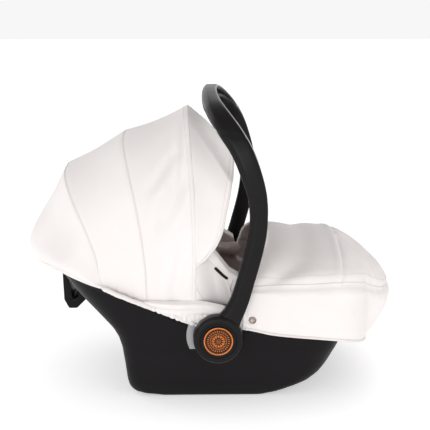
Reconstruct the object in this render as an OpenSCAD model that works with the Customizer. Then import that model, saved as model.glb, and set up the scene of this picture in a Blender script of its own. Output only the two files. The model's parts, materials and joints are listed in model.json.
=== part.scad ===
// Infant car seat with carry handle, folding canopy, foot muff and harness.
// Origin: middle of the flat rest face under the base. +X towards the feet, +Z up.

/* [Shell] */
// Width across the shell's two side walls at the rim
rim_w = 368; // [300:1:460]
// Width across the bottom of the shell
base_w = 300; // [240:1:350]
// Shell wall thickness
wall = 4; // [3:0.5:5]
// Distance from the handle pivot to the head end of the rim
head_reach = 312; // [290:1:330]
// Distance from the handle pivot to the foot end of the rim
foot_reach = 238; // [225:1:270]
// Height of the rim at the head end
head_h = 262; // [250:1:275]
// Thickness of the screwed-on base plate
plate_t = 5; // [4:0.5:7]
// Radius of the shell's head end corners seen from above
head_r = 130; // [100:1:145]
// Radius of the shell's foot end corners seen from above
foot_r = 90; // [70:1:110]

/* [Handle] */
// Height of the handle pivot above the ground
pivot_h = 139; // [136:1:146]
// Top of the handle above its pivot
handle_h = 449; // [440:1:560]
// Width of the handle bar seen from the side
bar_w = 32; // [26:1:38]
// Thickness of the handle arms across the seat
arm_t = 20; // [16:1:24]
// Depth of the grip across the top
grip_t = 32; // [20:1:32]
// Outer radius of the handle's hub discs
hub_r = 46; // [44:1:50]
// Radius of the round release buttons
button_r = 27; // [20:1:28]
// Travel of a release button
button_travel = 4; // [2:0.5:5]
// Radius of the pivot pins
pin_r = 8; // [6:0.5:9]

/* [Canopy] */
// Radius of the fixed rear hood about the canopy pivot
hood_r = 335; // [275:1:340]
// Corner radius of the canopy arches
arch_r = 105; // [80:1:120]
// Thickness of the canopy cloth as a solid
cloth_t = 3; // [2:0.5:3.5]
// Width of a canopy bow
bow_w = 16; // [12:1:20]
// Angle of the rear bow behind upright
rear_bow_deg = 42; // [40:1:46]
// Angle of the middle bow behind upright
mid_bow_deg = 21; // [19:1:23]

/* [Foot muff] */
// Distance from the handle pivot to the front of the foot muff
muff_reach = 358; // [340:1:380]
// Height of the top of the foot muff
muff_h = 300; // [300:1:340]

/* [Seat] */
// Half width of the seating hollow at its top
hollow_half = 122; // [100:1:126]
// Thickness of the seat cover
cover_t = 3; // [2:0.5:4]
// Width of the harness webbing
web_w = 36; // [30:1:40]
// Thickness of the harness webbing
web_t = 2; // [1.5:0.5:2.5]

/* [Hidden] */

$fn = 48;
sides = [-1, 1];                  // -1 is the left side, 1 the right side
ease = 0.4;                       // gap between pieces that lie against each other
run = 0.08;                       // running clearance of a pin in its bore
far = 900;                        // longer than anything it cuts
rim_half = rim_w / 2;
base_half = base_w / 2;

// Across the seat, from the shell wall outwards
boss_y = rim_half + 5.5;          // outer face of the pivot bosses
hub_in = boss_y + 1;              // inner face of the hub discs
arm_in = boss_y + 2.5;            // inner face of the handle arms
arm_out = arm_in + arm_t;
hub_out = arm_out + 4;            // outer face of the hub discs

// Across the seat, from the shell wall inwards: one layer for each nested canopy piece
layer_step = cloth_t + 1.5;
// Inner face of layer n, 0 is the outermost
function layer(n) = rim_half - cloth_t - ease - n * layer_step;
front_layer = 0;
panel_front_layer = 1;
bow_mid_layer = 2;
panel_rear_layer = 3;
hood_layer = 4;
bow_rear_layer = 5;
liner_half = layer(bow_rear_layer) - 2 - cover_t - ease;

// Side view landmarks, [x, z]
pivot = [0, pivot_h];
fold = [-56, pivot_h + 31];       // canopy pivot
head_tip = [-head_reach, head_h];
toe_tip = [foot_reach, pivot_h - 21];
notch = [-45, pivot_h + 18];      // lowest point of the rim, by the canopy pivot
plate_x = [-112, 95];
plate_z = plate_t + 4;            // seam between the shell and its base plate
boss_r = hub_r - 4;
boss_in = 26;                     // depth of the pivot bosses inside the rim

hook_slope = [[-head_reach + 13, head_h - 22], [-250, 185]];   // where the belt hook is screwed on
shell_under = [
    head_tip, hook_slope[0], hook_slope[1], [-206, 146], [-186, 127], [-177, 106],
    [-166, 31], [-157, 18], [plate_x[0], plate_z], [plate_x[1], plate_z], [150, 22], [186, 44],
    [203, 68], toe_tip
];
rim_line = [
    [foot_reach - 6, pivot_h - 8], [165, pivot_h - 4], [101, pivot_h + 4], [47, pivot_h + 15], notch,
    [-128, pivot_h + 57], [-172, pivot_h + 73], [-215, pivot_h + 93], [-head_reach + 16, head_h + 8]
];
shell_side = concat(shell_under, rim_line);

// Seating surface of the foam, from the head end to the knees
seat_line = [
    [-296, 330], [-262, 232], [-196, 158], [-130, 94], [-70, 66], [0, 60], [70, 78], [150, 108], [222, 128]
];

module side_view(width = far) { rotate([90, 0, 0]) linear_extrude(width, center = true) children(); }
module plan_view() { linear_extrude(far, center = true) children(); }
module front_view() { rotate([90, 0, 90]) linear_extrude(2 * far, center = true) children(); }
// A pin, boss or bore across the seat from |y| = y0 to y1 at a side view point
module across(p, r, y0, y1, s) {
    translate([p[0], s * y0, p[1]]) rotate([s * -90, 0, 0]) cylinder(r = r, h = y1 - y0);
}
// A side view outline given thickness from |y| = y0 to y1
module slab(y0, y1, s) {
    translate([0, s * (y0 + y1) / 2, 0]) side_view(y1 - y0) children();
}

// ---- shell ----
module plan_outline(half, head, foot, r, rf) {
    hull() for (s = sides) {
        translate([-head + r, s * (half - r)]) circle(r = r);
        translate([foot - rf, s * (half - rf)]) circle(r = rf);
    }
}
module front_outline(inset) {
    low = plate_z + inset;
    half = rim_half - inset;
    foot = base_half - inset;
    polygon([[-foot + 14, low], [foot - 14, low], [foot, low + 14], [half - 6, 85], [half, 130],
        [half, far], [-half, far], [-half, 130], [-half + 6, 85], [-foot, low + 14]]);
}
module shell_plan(inset) {
    plan_view() plan_outline(rim_half - inset, head_reach - inset, foot_reach - inset,
        head_r - inset, foot_r - inset);
}
module shell_body(inset) {
    intersection() {
        side_view() offset(delta = -inset) polygon(shell_side);
        shell_plan(inset);
        front_view() front_outline(inset);
    }
}
module shell_hollow() {
    intersection() {
        side_view() offset(delta = -wall)
            polygon(concat(shell_under, [[foot_reach, far], [-head_reach, far]]));
        shell_plan(wall);
        front_view() front_outline(wall);
    }
}
bar_r = 5;                        // docking bar radius
bar_x = [-125, 120];
bar_z = 22;
dock_w = 60;                      // clear length of each docking bar
screw_r = 3;
plate_screw_x = [-90, -10, 70];
plate_screw_y = base_half - 40;
hook_y = 34;                      // half width of the belt hook
module dock_pocket(x) {
    translate([x - 16, -dock_w / 2, -far]) cube([32, dock_w, far + bar_z + 14]);
}
module dock_block(x) {
    translate([x - 20, -dock_w / 2 - wall, plate_z]) cube([40, dock_w + 2 * wall, bar_z + 18 - plate_z]);
}
module outer_shell() {
    color("#232226") difference() {
        union() {
            difference() {
                shell_body(0);
                shell_hollow();
            }
            intersection() {
                for (x = bar_x) dock_block(x);
                shell_body(0);
            }
            for (s = sides) across(pivot, boss_r, rim_half - boss_in, boss_y, s);
        }
        for (x = bar_x) {
            dock_pocket(x);
            translate([x, 0, bar_z]) rotate([90, 0, 0])
                cylinder(r = bar_r, h = dock_w + 2 * wall + 2, center = true);
        }
        for (s = sides) {
            across(pivot, pin_r, rim_half - boss_in - 4, far, s);
            across(pivot, gear_r + 1, boss_y - button_travel - 1, far, s);
            across(fold, eye_r + 3, rim_half - wall - 1, far, s);
            across(trim_at, trim_r + ease, boss_y - 3, far, s);
        }
        for (x = plate_screw_x, s = sides) translate([x, s * plate_screw_y, 0]) cylinder(r = screw_r, h = 40);
        for (s = sides) hook_screw(s, 0);
    }
}
module base_plate() {
    color("#1d1c20") difference() {
        side_view(base_w - 24) offset(r = 1.5) offset(delta = -1.5) polygon([
            [plate_x[0], 4], [-78, 0], [66, 0], [plate_x[1], 5],
            [plate_x[1], plate_z - ease], [plate_x[0], plate_z - ease]]);
        for (x = plate_screw_x, s = sides) translate([x, s * plate_screw_y, 0]) {
            cylinder(r = screw_r + 0.3, h = 40);
            translate([0, 0, -1]) cylinder(r = screw_r * 2 + 0.5, h = plate_t - 0.5);
        }
        for (x = bar_x) dock_pocket(x);
    }
}
module base_screws() {
    color("silver") for (x = plate_screw_x, s = sides) translate([x, s * plate_screw_y, 1]) difference() {
        union() {
            cylinder(r = screw_r * 2, h = plate_t - 2.7);
            cylinder(r = screw_r, h = plate_z + wall);
        }
        translate([0, 0, -1]) cylinder(r = 2, h = 2.2, $fn = 6);
    }
}
module docking_bar(x) {
    color("silver") translate([x, 0, bar_z]) rotate([90, 0, 0])
        cylinder(r = bar_r, h = dock_w + 2 * wall, center = true);
}
// Hook for the vehicle belt under the head end
hook_dir = hook_slope[1] - hook_slope[0];
hook_ang = atan2(hook_dir[1], hook_dir[0]);
module on_head_slope() {
    translate([hook_slope[0][0], 0, hook_slope[0][1]]) rotate([0, -hook_ang, 0]) children();
}
module hook_screw(s, head) {
    on_head_slope() translate([32, s * 20, -7]) {
        cylinder(r = 2.5, h = 10);
        if (head) cylinder(r = 4.5, h = 2.5);
    }
}
module rear_belt_hook() {
    color("#1a191c") difference() {
        side_view(2 * hook_y) offset(r = 4) offset(delta = -4) polygon([
            hook_slope[0] + [-8, -3], [-305, 158], [-296, 140], [-280, 140], [-262, 158],
            hook_slope[1] + [-1, -2], hook_slope[0] + [1, -2]]);
        side_view() offset(r = 3) offset(delta = -3)
            polygon([[-297, 212], [-288, 158], [-276, 163], [-280, 200]]);
        translate([-330, -hook_y + 7, 100]) cube([28, 2 * hook_y - 14, 130]);
        on_head_slope() translate([-30, -hook_y - 1, -1.2]) cube([120, 2 * hook_y + 2, 30]);
        for (s = sides) hook_screw(s, 0);
        for (s = sides) on_head_slope() translate([32, s * 20, -60]) cylinder(r = 5, h = 55.6);
    }
}
module hook_screws() { color("silver") for (s = sides) hook_screw(s, 1); }

// ---- handle pivots ----
gear_r = 21;
gear_t = 6;
pocket_r = button_r + 0.5;
cap_t = 8;                        // button thickness
pocket_y = hub_out - cap_t - button_travel + 1;
trim_at = [pivot[0] - 1, pivot[1]];
trim_r = hub_r + 12;
trim_half = 26;                   // half height of the grey crescent
proud = 3;                        // how far a button stands out of its hub
post_r = 15;                      // radius of a button's post
gear_y = hub_in + 0.6;            // inner face of the lock gears
module pivot_trim(s) {
    color("#a5a5a7") intersection() {
        difference() {
            across(trim_at, trim_r, boss_y - 3, boss_y - 0.6, s);
            across(pivot, hub_r, boss_y - 4, boss_y + 1, s);
        }
        slab(0, far, s) translate([-far, pivot_h - trim_half]) square([far - 30, 2 * trim_half]);
    }
}
module pivot_pin(s) {
    color("silver") {
        across(pivot, pin_r, rim_half - boss_in - 4, pocket_y + 2, s);
        across(pivot, pin_r + 4, pocket_y + 0.3, pocket_y + 2, s);
        across(pivot, pin_r + 4, rim_half - boss_in - 6, rim_half - boss_in - ease, s);
    }
}
module gear_outline(grow) {
    circle(r = gear_r - 3 + grow);
    for (a = [0:30:359]) rotate(a)
        translate([gear_r - 4, -2.5 - grow]) square([4 + grow, 5 + 2 * grow]);
}
module gear_body(grow, y0, y1, s) {
    translate([pivot[0], s * y0, pivot[1]]) rotate([s * -90, 0, 0])
        linear_extrude(y1 - y0) gear_outline(grow);
}
module lock_gear(s) {
    color("#8a8a8c") difference() {
        gear_body(0, gear_y, gear_y + gear_t, s);
        across(pivot, pin_r + 0.5, 0, far, s);
    }
}
module release_button(s) {
    color("#d98c4b") difference() {
        union() {
            across(pivot, button_r, hub_out + proud - cap_t, hub_out + proud, s);
            across(pivot, post_r, gear_y + gear_t, hub_out + proud - cap_t, s);
        }
        across(pivot, pin_r + 5, hub_in, hub_out - 1, s);
    }
}
spring_r = 20;
spring_y = [pocket_y + 0.5, hub_out + proud - cap_t - 0.3];
wire_r = 0.8;
spring_rings = 3;
// Wave spring: rings held apart by pairs of crests, each pair a quarter turn from the last
module wave_spring(r, wire, h, count) {
    step = (h - 2 * wire) / (count - 1);
    for (i = [0:count - 1]) translate([0, 0, wire + i * step])
        rotate_extrude() translate([r, 0]) circle(r = wire, $fn = 16);
    for (i = [0:count - 2], a = [0, 180]) rotate(a + 90 * i) translate([r, 0, wire + i * step])
        cylinder(r = wire * 0.8, h = step);
}
module button_spring(s) {
    color("silver") translate([pivot[0], s * spring_y[0], pivot[1]]) rotate([s * -90, 0, 0])
        wave_spring(spring_r, wire_r, spring_y[1] - spring_y[0], spring_rings);
}

// ---- carry handle ----
bar_line = [
    pivot, [37, 208], [54, 262], [66, 318], [72, 362], [69, 408], [54, 460], [28, 508], [2, 546]
];
top_mid = [-16, pivot_h + handle_h];
stretch = (handle_h - 20) / 429;  // the arms' outline follows the handle's height
function side_of(p) = [p[0], pivot_h + (p[1] - pivot_h) * stretch];
handle_line = concat([for (p = bar_line) side_of(p)], [[top_mid[0], top_mid[1] - 10]]);
function heading(line, i) =
    let (a = line[max(i - 1, 0)], b = line[min(i + 1, len(line) - 1)]) (b - a) / norm(b - a);
function edge(line, t) = [for (i = [0:len(line) - 1])
    line[i] + t * [-heading(line, i)[1], heading(line, i)[0]]];
function strip(line, t0, t1) =
    let (a = edge(line, t0), b = edge(line, t1)) concat(a, [for (i = [len(b) - 1:-1:0]) b[i]]);
corner_r = 78;
module handle_front(grow) {
    inner_r = corner_r - grip_t + 4;
    out = arm_out + grow;
    top = top_mid[1] + grow;
    difference() {
        hull() {
            for (s = sides) translate([s * (out - corner_r), top - corner_r]) circle(r = corner_r);
            translate([-out, pivot_h]) square([2 * out, 10]);
        }
        hull() {
            for (s = sides) translate([s * (arm_in - grow - inner_r), top - 2 * grow - grip_t - inner_r])
                circle(r = inner_r);
            translate([-arm_in + grow, -10]) square([2 * (arm_in - grow), 10]);
        }
    }
}
grip_half = arm_in - 80;          // half length of the grip
module carry_handle() {
    color("#232226") difference() {
        union() {
            intersection() {
                side_view() polygon(strip(handle_line, -bar_w / 2, bar_w / 2));
                front_view() handle_front(0);
            }
            for (s = sides) across(pivot, hub_r, hub_in, hub_out, s);
        }
        for (s = sides) {
            across(pivot, pin_r + run, 0, far, s);
            across(pivot, pocket_r, pocket_y, far, s);
            gear_body(0.3, hub_in - 1, gear_y + gear_t + ease, s);
            across(pivot, post_r + 0.5, hub_in, far, s);
        }
        translate([top_mid[0] - 5, 0, top_mid[1]]) cube([16, 2 * grip_half + 2 * ease, 5], center = true);
    }
}
module handle_grip() {
    color("#2c2b2f") translate([top_mid[0] - 5, 0, top_mid[1] - 0.7]) difference() {
        cube([16 - 2 * ease, 2 * grip_half, 3], center = true);
        for (y = [-grip_half + 8:8:grip_half - 7]) translate([0, y, 1.5]) cube([12, 2, 1.4], center = true);
    }
}

// ---- seat ----
// A side view point some gap inside the hood, towards the head end
function in_hood(towards, gap) = fold + (hood_r - gap) * towards / norm(towards);
wing_line = [
    in_hood([-234, 70], 90.8), in_hood([-240, 152], 50.9), [-60, 306], [-12, 292], [20, 250], [37, 240],
    [44, 190], [110, 158], [60, 100]
];
module liner_side(grow) {
    offset(delta = grow) {
        offset(delta = -wall - ease) polygon(shell_side);
        polygon(wing_line);
    }
}
module liner_body(grow) {
    in = rim_half - liner_half - grow;
    intersection() {
        side_view() liner_side(grow);
        plan_view() plan_outline(liner_half + grow, head_reach - wall - 8 + grow,
            foot_reach - wall - 8 + grow, head_r - in, foot_r - in);
        front_view() offset(delta = grow) intersection() {
            front_outline(wall + ease);
            translate([-liner_half, 0]) square([2 * liner_half, far]);
        }
    }
}
// The seating hollow, shrunk by a cover or pad thickness
module hollow(inset) {
    half = hollow_half - inset;
    low = hollow_half * 0.72 - inset;
    intersection() {
        side_view() polygon(concat(edge(seat_line, inset), [[260, 420], [-330, 420]]));
        plan_view() plan_outline(half, 285 - inset, far, 95 - inset, 10);
        front_view() polygon([[-low, 40], [low, 40], [half, 200], [half, 500], [-half, 500], [-half, 200]]);
    }
}
// Channels in the foam for the two pivots, their bosses and the docking pockets
module liner_reliefs() {
    for (s = sides) {
        across(pivot, boss_r + 2, rim_half - boss_in - 10, far, s);
        across(pivot, pin_r + 8, rim_half - boss_in - 14, far, s);
    }
    for (x = bar_x) translate([x - 22, -dock_w / 2 - wall - 2, 0])
        cube([44, dock_w + 2 * wall + 4, bar_z + 21]);
    for (x = plate_screw_x, s = sides) translate([x, s * plate_screw_y, 0])
        cylinder(r = screw_r + 2, h = plate_z + wall + 6);
}
module foam_liner() {
    color("#e4e4e2") difference() {
        liner_body(0);
        hollow(0);
        liner_reliefs();
    }
}
// Everything above the rim by some gap
module over_rim(gap) {
    translate([0, 0, gap]) side_view() polygon(concat(
        [[far, pivot_h - 8]], rim_line, [[-far, head_h + 8], [-far, far], [far, far]]));
}
module seat_cover() {
    color("#efecea") difference() {
        intersection() {
            liner_body(cover_t + ease);
            union() {
                over_rim(1);
                hollow(-ease);
            }
        }
        difference() {
            liner_body(ease);
            hollow(ease);
        }
        hollow(cover_t + ease);
        liner_reliefs();
    }
}
skirt_t = 2.5;
skirt_drop = 10;
module cover_skirt() {
    color("#efecea") difference() {
        intersection() {
            shell_body(-skirt_t - ease);
            translate([0, 0, -skirt_drop]) side_view() polygon(concat(
                [notch + [10, 22], notch + [1, skirt_drop]], [for (i = [4:8]) rim_line[i]],
                [[-far, head_h + 8], [-far, far], notch + [10, far]]));
        }
        shell_body(-ease);
        shell_hollow();
        difference() {
            hood_form(-ease);
            hood_form(cloth_t + ease);
        }
        for (s = sides) {
            across(pivot, trim_r + 2, rim_half, far, s);
            across(fold, 40, 0, rim_half + ease, s);
        }
    }
}
pad_base = cover_t + 2 * ease;
pad_t = 20;
module pad_on_seat(line, t, half) {
    base = pad_base;
    intersection() {
        side_view(2 * half) offset(r = t / 2.2) offset(delta = -t / 2.2) polygon(strip(line, base, base + t));
        hollow(base);
    }
}
seat_run = concat([seat_line[3] + 0.25 * (seat_line[4] - seat_line[3])], [for (i = [4:6]) seat_line[i]]);
module back_pad() { color("#8d7d78") pad_on_seat([for (i = [1:3]) seat_line[i]], pad_t, hollow_half - 34); }
module seat_pad() {
    color("#8d7d78") difference() {
        pad_on_seat(seat_run, pad_t - 2, hollow_half - 44);
        translate([crotch_x - 7, -web_w / 2 - 10, 0]) cube([22, web_w + 20, far]);
    }
}
// Soft roll along the inside of each side wing
module side_bolster(s) {
    y1 = hollow_half - cover_t - 2 * ease;
    color("#8d7d78") slab(y1 - 24, y1, s) offset(r = 12) offset(delta = -12) polygon([
        [-186, 262], [-60, 284], [-16, 276], [14, 242], [46, 238], [60, 222], [52, 204], [-90, 206],
        [-186, 222]]);
}
// Guide for the vehicle's lap belt on top of each side wing
guide_line = [[-10, 262], [-2, 250], [8, 241], [20, 236]];
module belt_guide(s) {
    y0 = liner_half + cover_t + 2 * ease;
    color("#141316") slab(y0, y0 + 2, s) polygon(strip(guide_line, -2, 2));
}

// ---- harness ----
strap_y = 42;
pad_under = 3.5;                  // shoulder pad below the strap
lift = pad_base + pad_t + pad_under + ease;
back_run = [[-240, 207], [-196, 158], [-130, 94], [-70, 66]];
strap_low = [-22, 100];
strap_line = concat(edge(back_run, lift), [strap_low]);
module strap_at(y, line, t0, t1, w) { translate([0, y, 0]) side_view(w) polygon(strip(line, t0, t1)); }
module shoulder_strap(s) { color("#2a282b") strap_at(s * strap_y, strap_line, 0, web_t, web_w); }
module shoulder_pad(s) {
    line = [strap_line[0] + 0.45 * (strap_line[1] - strap_line[0]), strap_line[1], strap_line[2]];
    color("#8d7d78") difference() {
        strap_at(s * strap_y, line, -pad_under, web_t + 7, web_w + 18);
        strap_at(s * strap_y, strap_line, -ease, web_t + ease, web_w + 2 * ease);
    }
}
buckle_at = [6, 104];
buckle_w = 52;
module lap_strap(s) {
    y0 = buckle_w / 2 + 8;
    color("#2a282b") translate([0, s * (y0 + 22), 0]) side_view(44) polygon(strip(
        [[-70, 106], [-50, 109], [-41, 106]], 0, web_t));
}
crotch_x = 34;
module crotch_strap() {
    color("#2a282b") side_view(web_w)
        polygon(strip([[crotch_x, 74], [crotch_x - 2, 90], [buckle_at[0] + 16, 104]], 0, web_t));
}
module crotch_pad() {
    color("#8d7d78") side_view(web_w + 16) offset(r = 3) offset(delta = -3)
        polygon([[crotch_x + 3, 98], [crotch_x + 12, 100], [buckle_at[0] + 28, 126],
            [buckle_at[0] + 20, 122]]);
}
module buckle_box() { translate([buckle_at[0], 0, buckle_at[1] + 4]) rotate([0, 14, 0]) children(); }
button_w = 24;
module buckle_body() {
    color("#1d1c1f") buckle_box() difference() {
        linear_extrude(14) offset(r = 8) square([32 - 16, buckle_w - 16], center = true);
        translate([-3, -button_w / 2 - 0.3, 6]) cube([16 - 0.3, button_w + 0.6, 20]);
        for (s = sides) translate([-20, s * 14 - 9.5, 3]) cube([16, 19, 4.2]);
    }
}
module buckle_button() {
    color("#b3202a") buckle_box() translate([-2.6, -button_w / 2, 9]) cube([15, button_w, 6.5]);
}
module buckle_tongues() {
    color("silver") buckle_box() for (s = sides) translate([-30, s * 14 - 9, 3.6])
        cube([25, 18, 3]);
}
adjust_at = [142, 122];
module adjuster_housing() {
    color("#1d1c1f") translate([adjust_at[0], 0, adjust_at[1]]) rotate([0, -14, 0]) difference() {
        linear_extrude(8) offset(r = 5) square([38, 30], center = true);
        translate([-13, -11, 2]) cube([26, 22, 20]);
    }
}
module adjuster_button() {
    color("#3a383c") translate([adjust_at[0], 0, adjust_at[1]]) rotate([0, -14, 0])
        translate([-12.6, -10.6, 5.2]) cube([25.2, 21.2, 4]);
}

// ---- canopy ----
eye_r = 9;
eye_pin_r = 4;
module canopy_bracket(s) {
    y0 = layer(bow_rear_layer) - 1;
    yp = layer(panel_front_layer);
    color("#232226") {
        across(fold, eye_pin_r, y0, rim_half + ease, s);
        slab(yp, yp + cloth_t, s) offset(r = 4) offset(delta = -4) polygon([
            fold + [-12, 9], fold + [12, 9], fold + [12, -30], fold + [-12, -30]]);
        slab(yp, rim_half - wall, s) translate(fold + [-11, -29]) square([22, 11]);
    }
}
// An arch's outline in the plane of its bow: distance from the fold axis against y
function arch_half(r, half, cr, n) =
    [for (i = [0:n]) [r - cr + cr * cos(90 * i / n), half - cr + cr * sin(90 * i / n)]];
function arch(r, half, cr, r0, n = 10) =
    let (a = concat(arch_half(r, half, cr, n), [[r0, half]]))
    concat([for (i = [len(a) - 1:-1:0]) [a[i][0], -a[i][1]]], a);
module arch_band(r, half, t, r0) {
    inner = arch(r - t, half - t, arch_r - t, r0);
    polygon(concat(arch(r, half, arch_r, r0), [for (i = [len(inner) - 1:-1:0]) inner[i]]));
}
// Turns an outline [distance, y] about the fold axis, from one angle behind upright to another
module sweep(from, to) {
    translate([fold[0], 0, fold[1]]) rotate([90, 0, 0]) rotate([0, 0, 90 + from])
        rotate_extrude(angle = to - from) children();
}
module bow(deg, r, half) {
    span = bow_w / r * 180 / PI;
    color("#232226") difference() {
        union() {
            sweep(deg - span / 2, deg + span / 2) arch_band(r, half, cloth_t, r - arch_r - 10);
            for (s = sides) slab(half - cloth_t, half, s) {
                translate(fold) rotate(deg) translate([-bow_w / 2, 0]) square([bow_w, r - arch_r - 8]);
                translate(fold) circle(r = eye_r);
            }
        }
        for (s = sides) across(fold, eye_pin_r + run, 0, far, s);
    }
}
hood_half = layer(hood_layer) + cloth_t;
rear_panel_r = hood_r + layer_step;
mid_bow_r = rear_panel_r + layer_step;
front_panel_r = mid_bow_r + layer_step;
front_bow_r = hood_r + 35;
module canopy_bow_rear() { bow(rear_bow_deg, hood_r - 8, layer(bow_rear_layer) + cloth_t); }
module canopy_bow_middle() { bow(mid_bow_deg, mid_bow_r, layer(bow_mid_layer) + cloth_t); }
module canopy_bow_front() { bow(0, front_bow_r, layer(front_layer) + cloth_t); }
module panel(from, to, r, half) {
    color("#efecea") sweep(from, to) arch_band(r, half, cloth_t, 60);
}
module canopy_panel_rear() {
    panel(mid_bow_deg, rear_bow_deg, rear_panel_r, layer(panel_rear_layer) + cloth_t);
}
module canopy_panel_front() {
    panel(3, mid_bow_deg, front_panel_r, layer(panel_front_layer) + cloth_t);
}
// The hood's outer form, shrunk by its cloth for the inside
module hood_form(inset) {
    intersection() {
        sweep(-10, 140) polygon(arch(hood_r - inset, hood_half - inset, arch_r - inset, 0));
        plan_view() plan_outline(hood_half - inset, head_reach + 57 - inset, 200, 122 - inset, 20);
    }
}
module canopy_hood() {
    ray = [-sin(rear_bow_deg), cos(rear_bow_deg)];
    color("#efecea") difference() {
        intersection() {
            hood_form(0);
            side_view() polygon([
                fold + 1.4 * hood_r * ray, fold + 22 * ray + [-14, 0], [-128, pivot_h + 72],
                [-215, pivot_h + 106], [-head_reach - 6, head_h + 16], [-head_reach - 14, head_h - 46],
                [-far, head_h - 46]]);
        }
        hood_form(cloth_t);
    }
}
// The visor: a loft from the front bow's arch to the brim
brim = [33, fold[1] + front_bow_r - 97];
visor_low = fold[1] + front_bow_r - 264;      // low edge of the visor at the front bow
module arch_face(x, top, half, low) {
    translate([x, 0, 0]) rotate([90, 0, 90]) linear_extrude(0.5) hull() {
        for (s = sides) translate([s * (half - 90), top - 90]) circle(r = 90, $fn = 32);
        translate([-half, low]) square([2 * half, 1]);
    }
}
module visor_hull(inset) {
    half = layer(front_layer) + cloth_t - inset;
    hull() {
        arch_face(fold[0] + bow_w / 2 + 2, fold[1] + front_bow_r - inset, half, visor_low);
        arch_face(-6 - inset, brim[1] + 60 - inset, half - 2, visor_low + 44);
        arch_face(brim[0] - inset - 4, brim[1] - inset, half - 8, visor_low + 119);
    }
}
module canopy_visor() {
    half = layer(front_layer);
    color("#efecea") difference() {
        visor_hull(0);
        difference() {
            translate([-1, 0, 0]) visor_hull(cloth_t);
            translate([brim[0] - 12, -far, brim[1] - 20]) cube([far, 2 * far, far]);
        }
        translate([-far, -far, -far]) cube([2 * far, 2 * far, far + visor_low + 2]);
        hull() {
            arch_face(fold[0], fold[1] + front_bow_r - 40, half - 0.2, 0);
            arch_face(-30, fold[1] + front_bow_r - 90, half - 0.2, 0);
            arch_face(80, visor_low + 119, half - 6, 0);
        }
    }
}

// ---- foot muff ----
muff_t = 3;
muff_side = [
    [48, pivot_h + 14], [50, pivot_h + 50], [62, pivot_h + 84], [76, pivot_h + 118], [90, muff_h - 20],
    [112, muff_h - 3], [160, muff_h], [250, muff_h - 8],
    [muff_reach - 60, muff_h - 42], [muff_reach - 24, muff_h - 80],
    [muff_reach - 6, muff_h - 122], [muff_reach, muff_h - 152], [muff_reach - 8, pivot_h - 2],
    [muff_reach - 28, pivot_h - 21], [muff_reach - 58, pivot_h - 28], [foot_reach + 9, pivot_h - 30],
    [foot_reach + 4, pivot_h - 12], [165, pivot_h - 7], [101, pivot_h + 1]
];
muff_half = rim_half + ease + muff_t;
module muff_form(inset) {
    half = muff_half - inset;
    intersection() {
        side_view() offset(delta = -inset) polygon(muff_side);
        plan_view() plan_outline(half, 100, muff_reach - inset, 60, 120 - inset);
        front_view() hull() {
            for (s = sides) translate([s * (half - 88), muff_h - inset - 88]) circle(r = 88);
            translate([-half, 0]) square([2 * half, 20]);
        }
    }
}
// The muff is open towards the seat and where the shell comes up into it
module muff_mouth() {
    intersection() {
        side_view() polygon([[-far, 0], [-far, muff_h - muff_t - 14], muff_side[4] + [0, -10], muff_side[3],
            [100, pivot_h + 60], [foot_reach + 4, pivot_h + 40], [foot_reach + 4, 0]]);
        union() {
            shell_plan(-ease);
            translate([-far, muff_t - muff_half, 0]) cube([far + 110, 2 * (muff_half - muff_t), far]);
        }
    }
}
snap_at = [64, pivot_h + 30];
snap_r = 7;
module foot_muff() {
    color("#efecea") difference() {
        muff_form(0);
        muff_form(muff_t);
        muff_mouth();
        for (s = sides) across(snap_at, 2.2, 0, far, s);
    }
}
module snap_caps() {
    color("#bfb5aa") for (s = sides) difference() {
        union() {
            across(snap_at, snap_r, muff_half + 0.1, muff_half + 1.6, s);
            across(snap_at, 2.1, muff_half - muff_t - 0.2, muff_half + 0.1, s);
        }
        across(snap_at, snap_r - 2.2, muff_half + 1.1, far, s);
    }
}
module snap_studs() {
    y0 = liner_half + cover_t + 2 * ease;
    color("#bfb5aa") for (s = sides) {
        across(snap_at, 6, y0, y0 + 1.5, s);
        across(snap_at, 3, y0, muff_half - muff_t - 0.6, s);
    }
}

outer_shell();
base_plate();
base_screws();
docking_bar(bar_x[1]);  // docking_bar_front
docking_bar(bar_x[0]);  // docking_bar_rear
rear_belt_hook();
hook_screws();
foam_liner();
seat_cover();
cover_skirt();
back_pad();
seat_pad();
side_bolster(-1);  // side_bolster_left
side_bolster(1);  // side_bolster_right
belt_guide(-1);  // belt_guide_left
belt_guide(1);  // belt_guide_right
pivot_trim(-1);  // pivot_trim_left
pivot_trim(1);  // pivot_trim_right
pivot_pin(-1);  // pivot_pin_left
pivot_pin(1);  // pivot_pin_right
shoulder_strap(-1);  // shoulder_strap_left
shoulder_strap(1);  // shoulder_strap_right
shoulder_pad(-1);  // shoulder_pad_left
shoulder_pad(1);  // shoulder_pad_right
lap_strap(-1);  // lap_strap_left
lap_strap(1);  // lap_strap_right
crotch_strap();
crotch_pad();
buckle_body();
buckle_button();
buckle_tongues();
adjuster_housing();
adjuster_button();
carry_handle();
handle_grip();
release_button(-1);  // release_button_left
release_button(1);  // release_button_right
button_spring(-1);  // button_spring_left
button_spring(1);  // button_spring_right
lock_gear(-1);  // lock_gear_left
lock_gear(1);  // lock_gear_right
canopy_bracket(-1);  // canopy_bracket_left
canopy_bracket(1);  // canopy_bracket_right
canopy_bow_rear();
canopy_bow_middle();
canopy_bow_front();
canopy_hood();
canopy_panel_rear();
canopy_panel_front();
canopy_visor();
foot_muff();
snap_caps();
snap_studs();
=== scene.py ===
import json
import math

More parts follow.
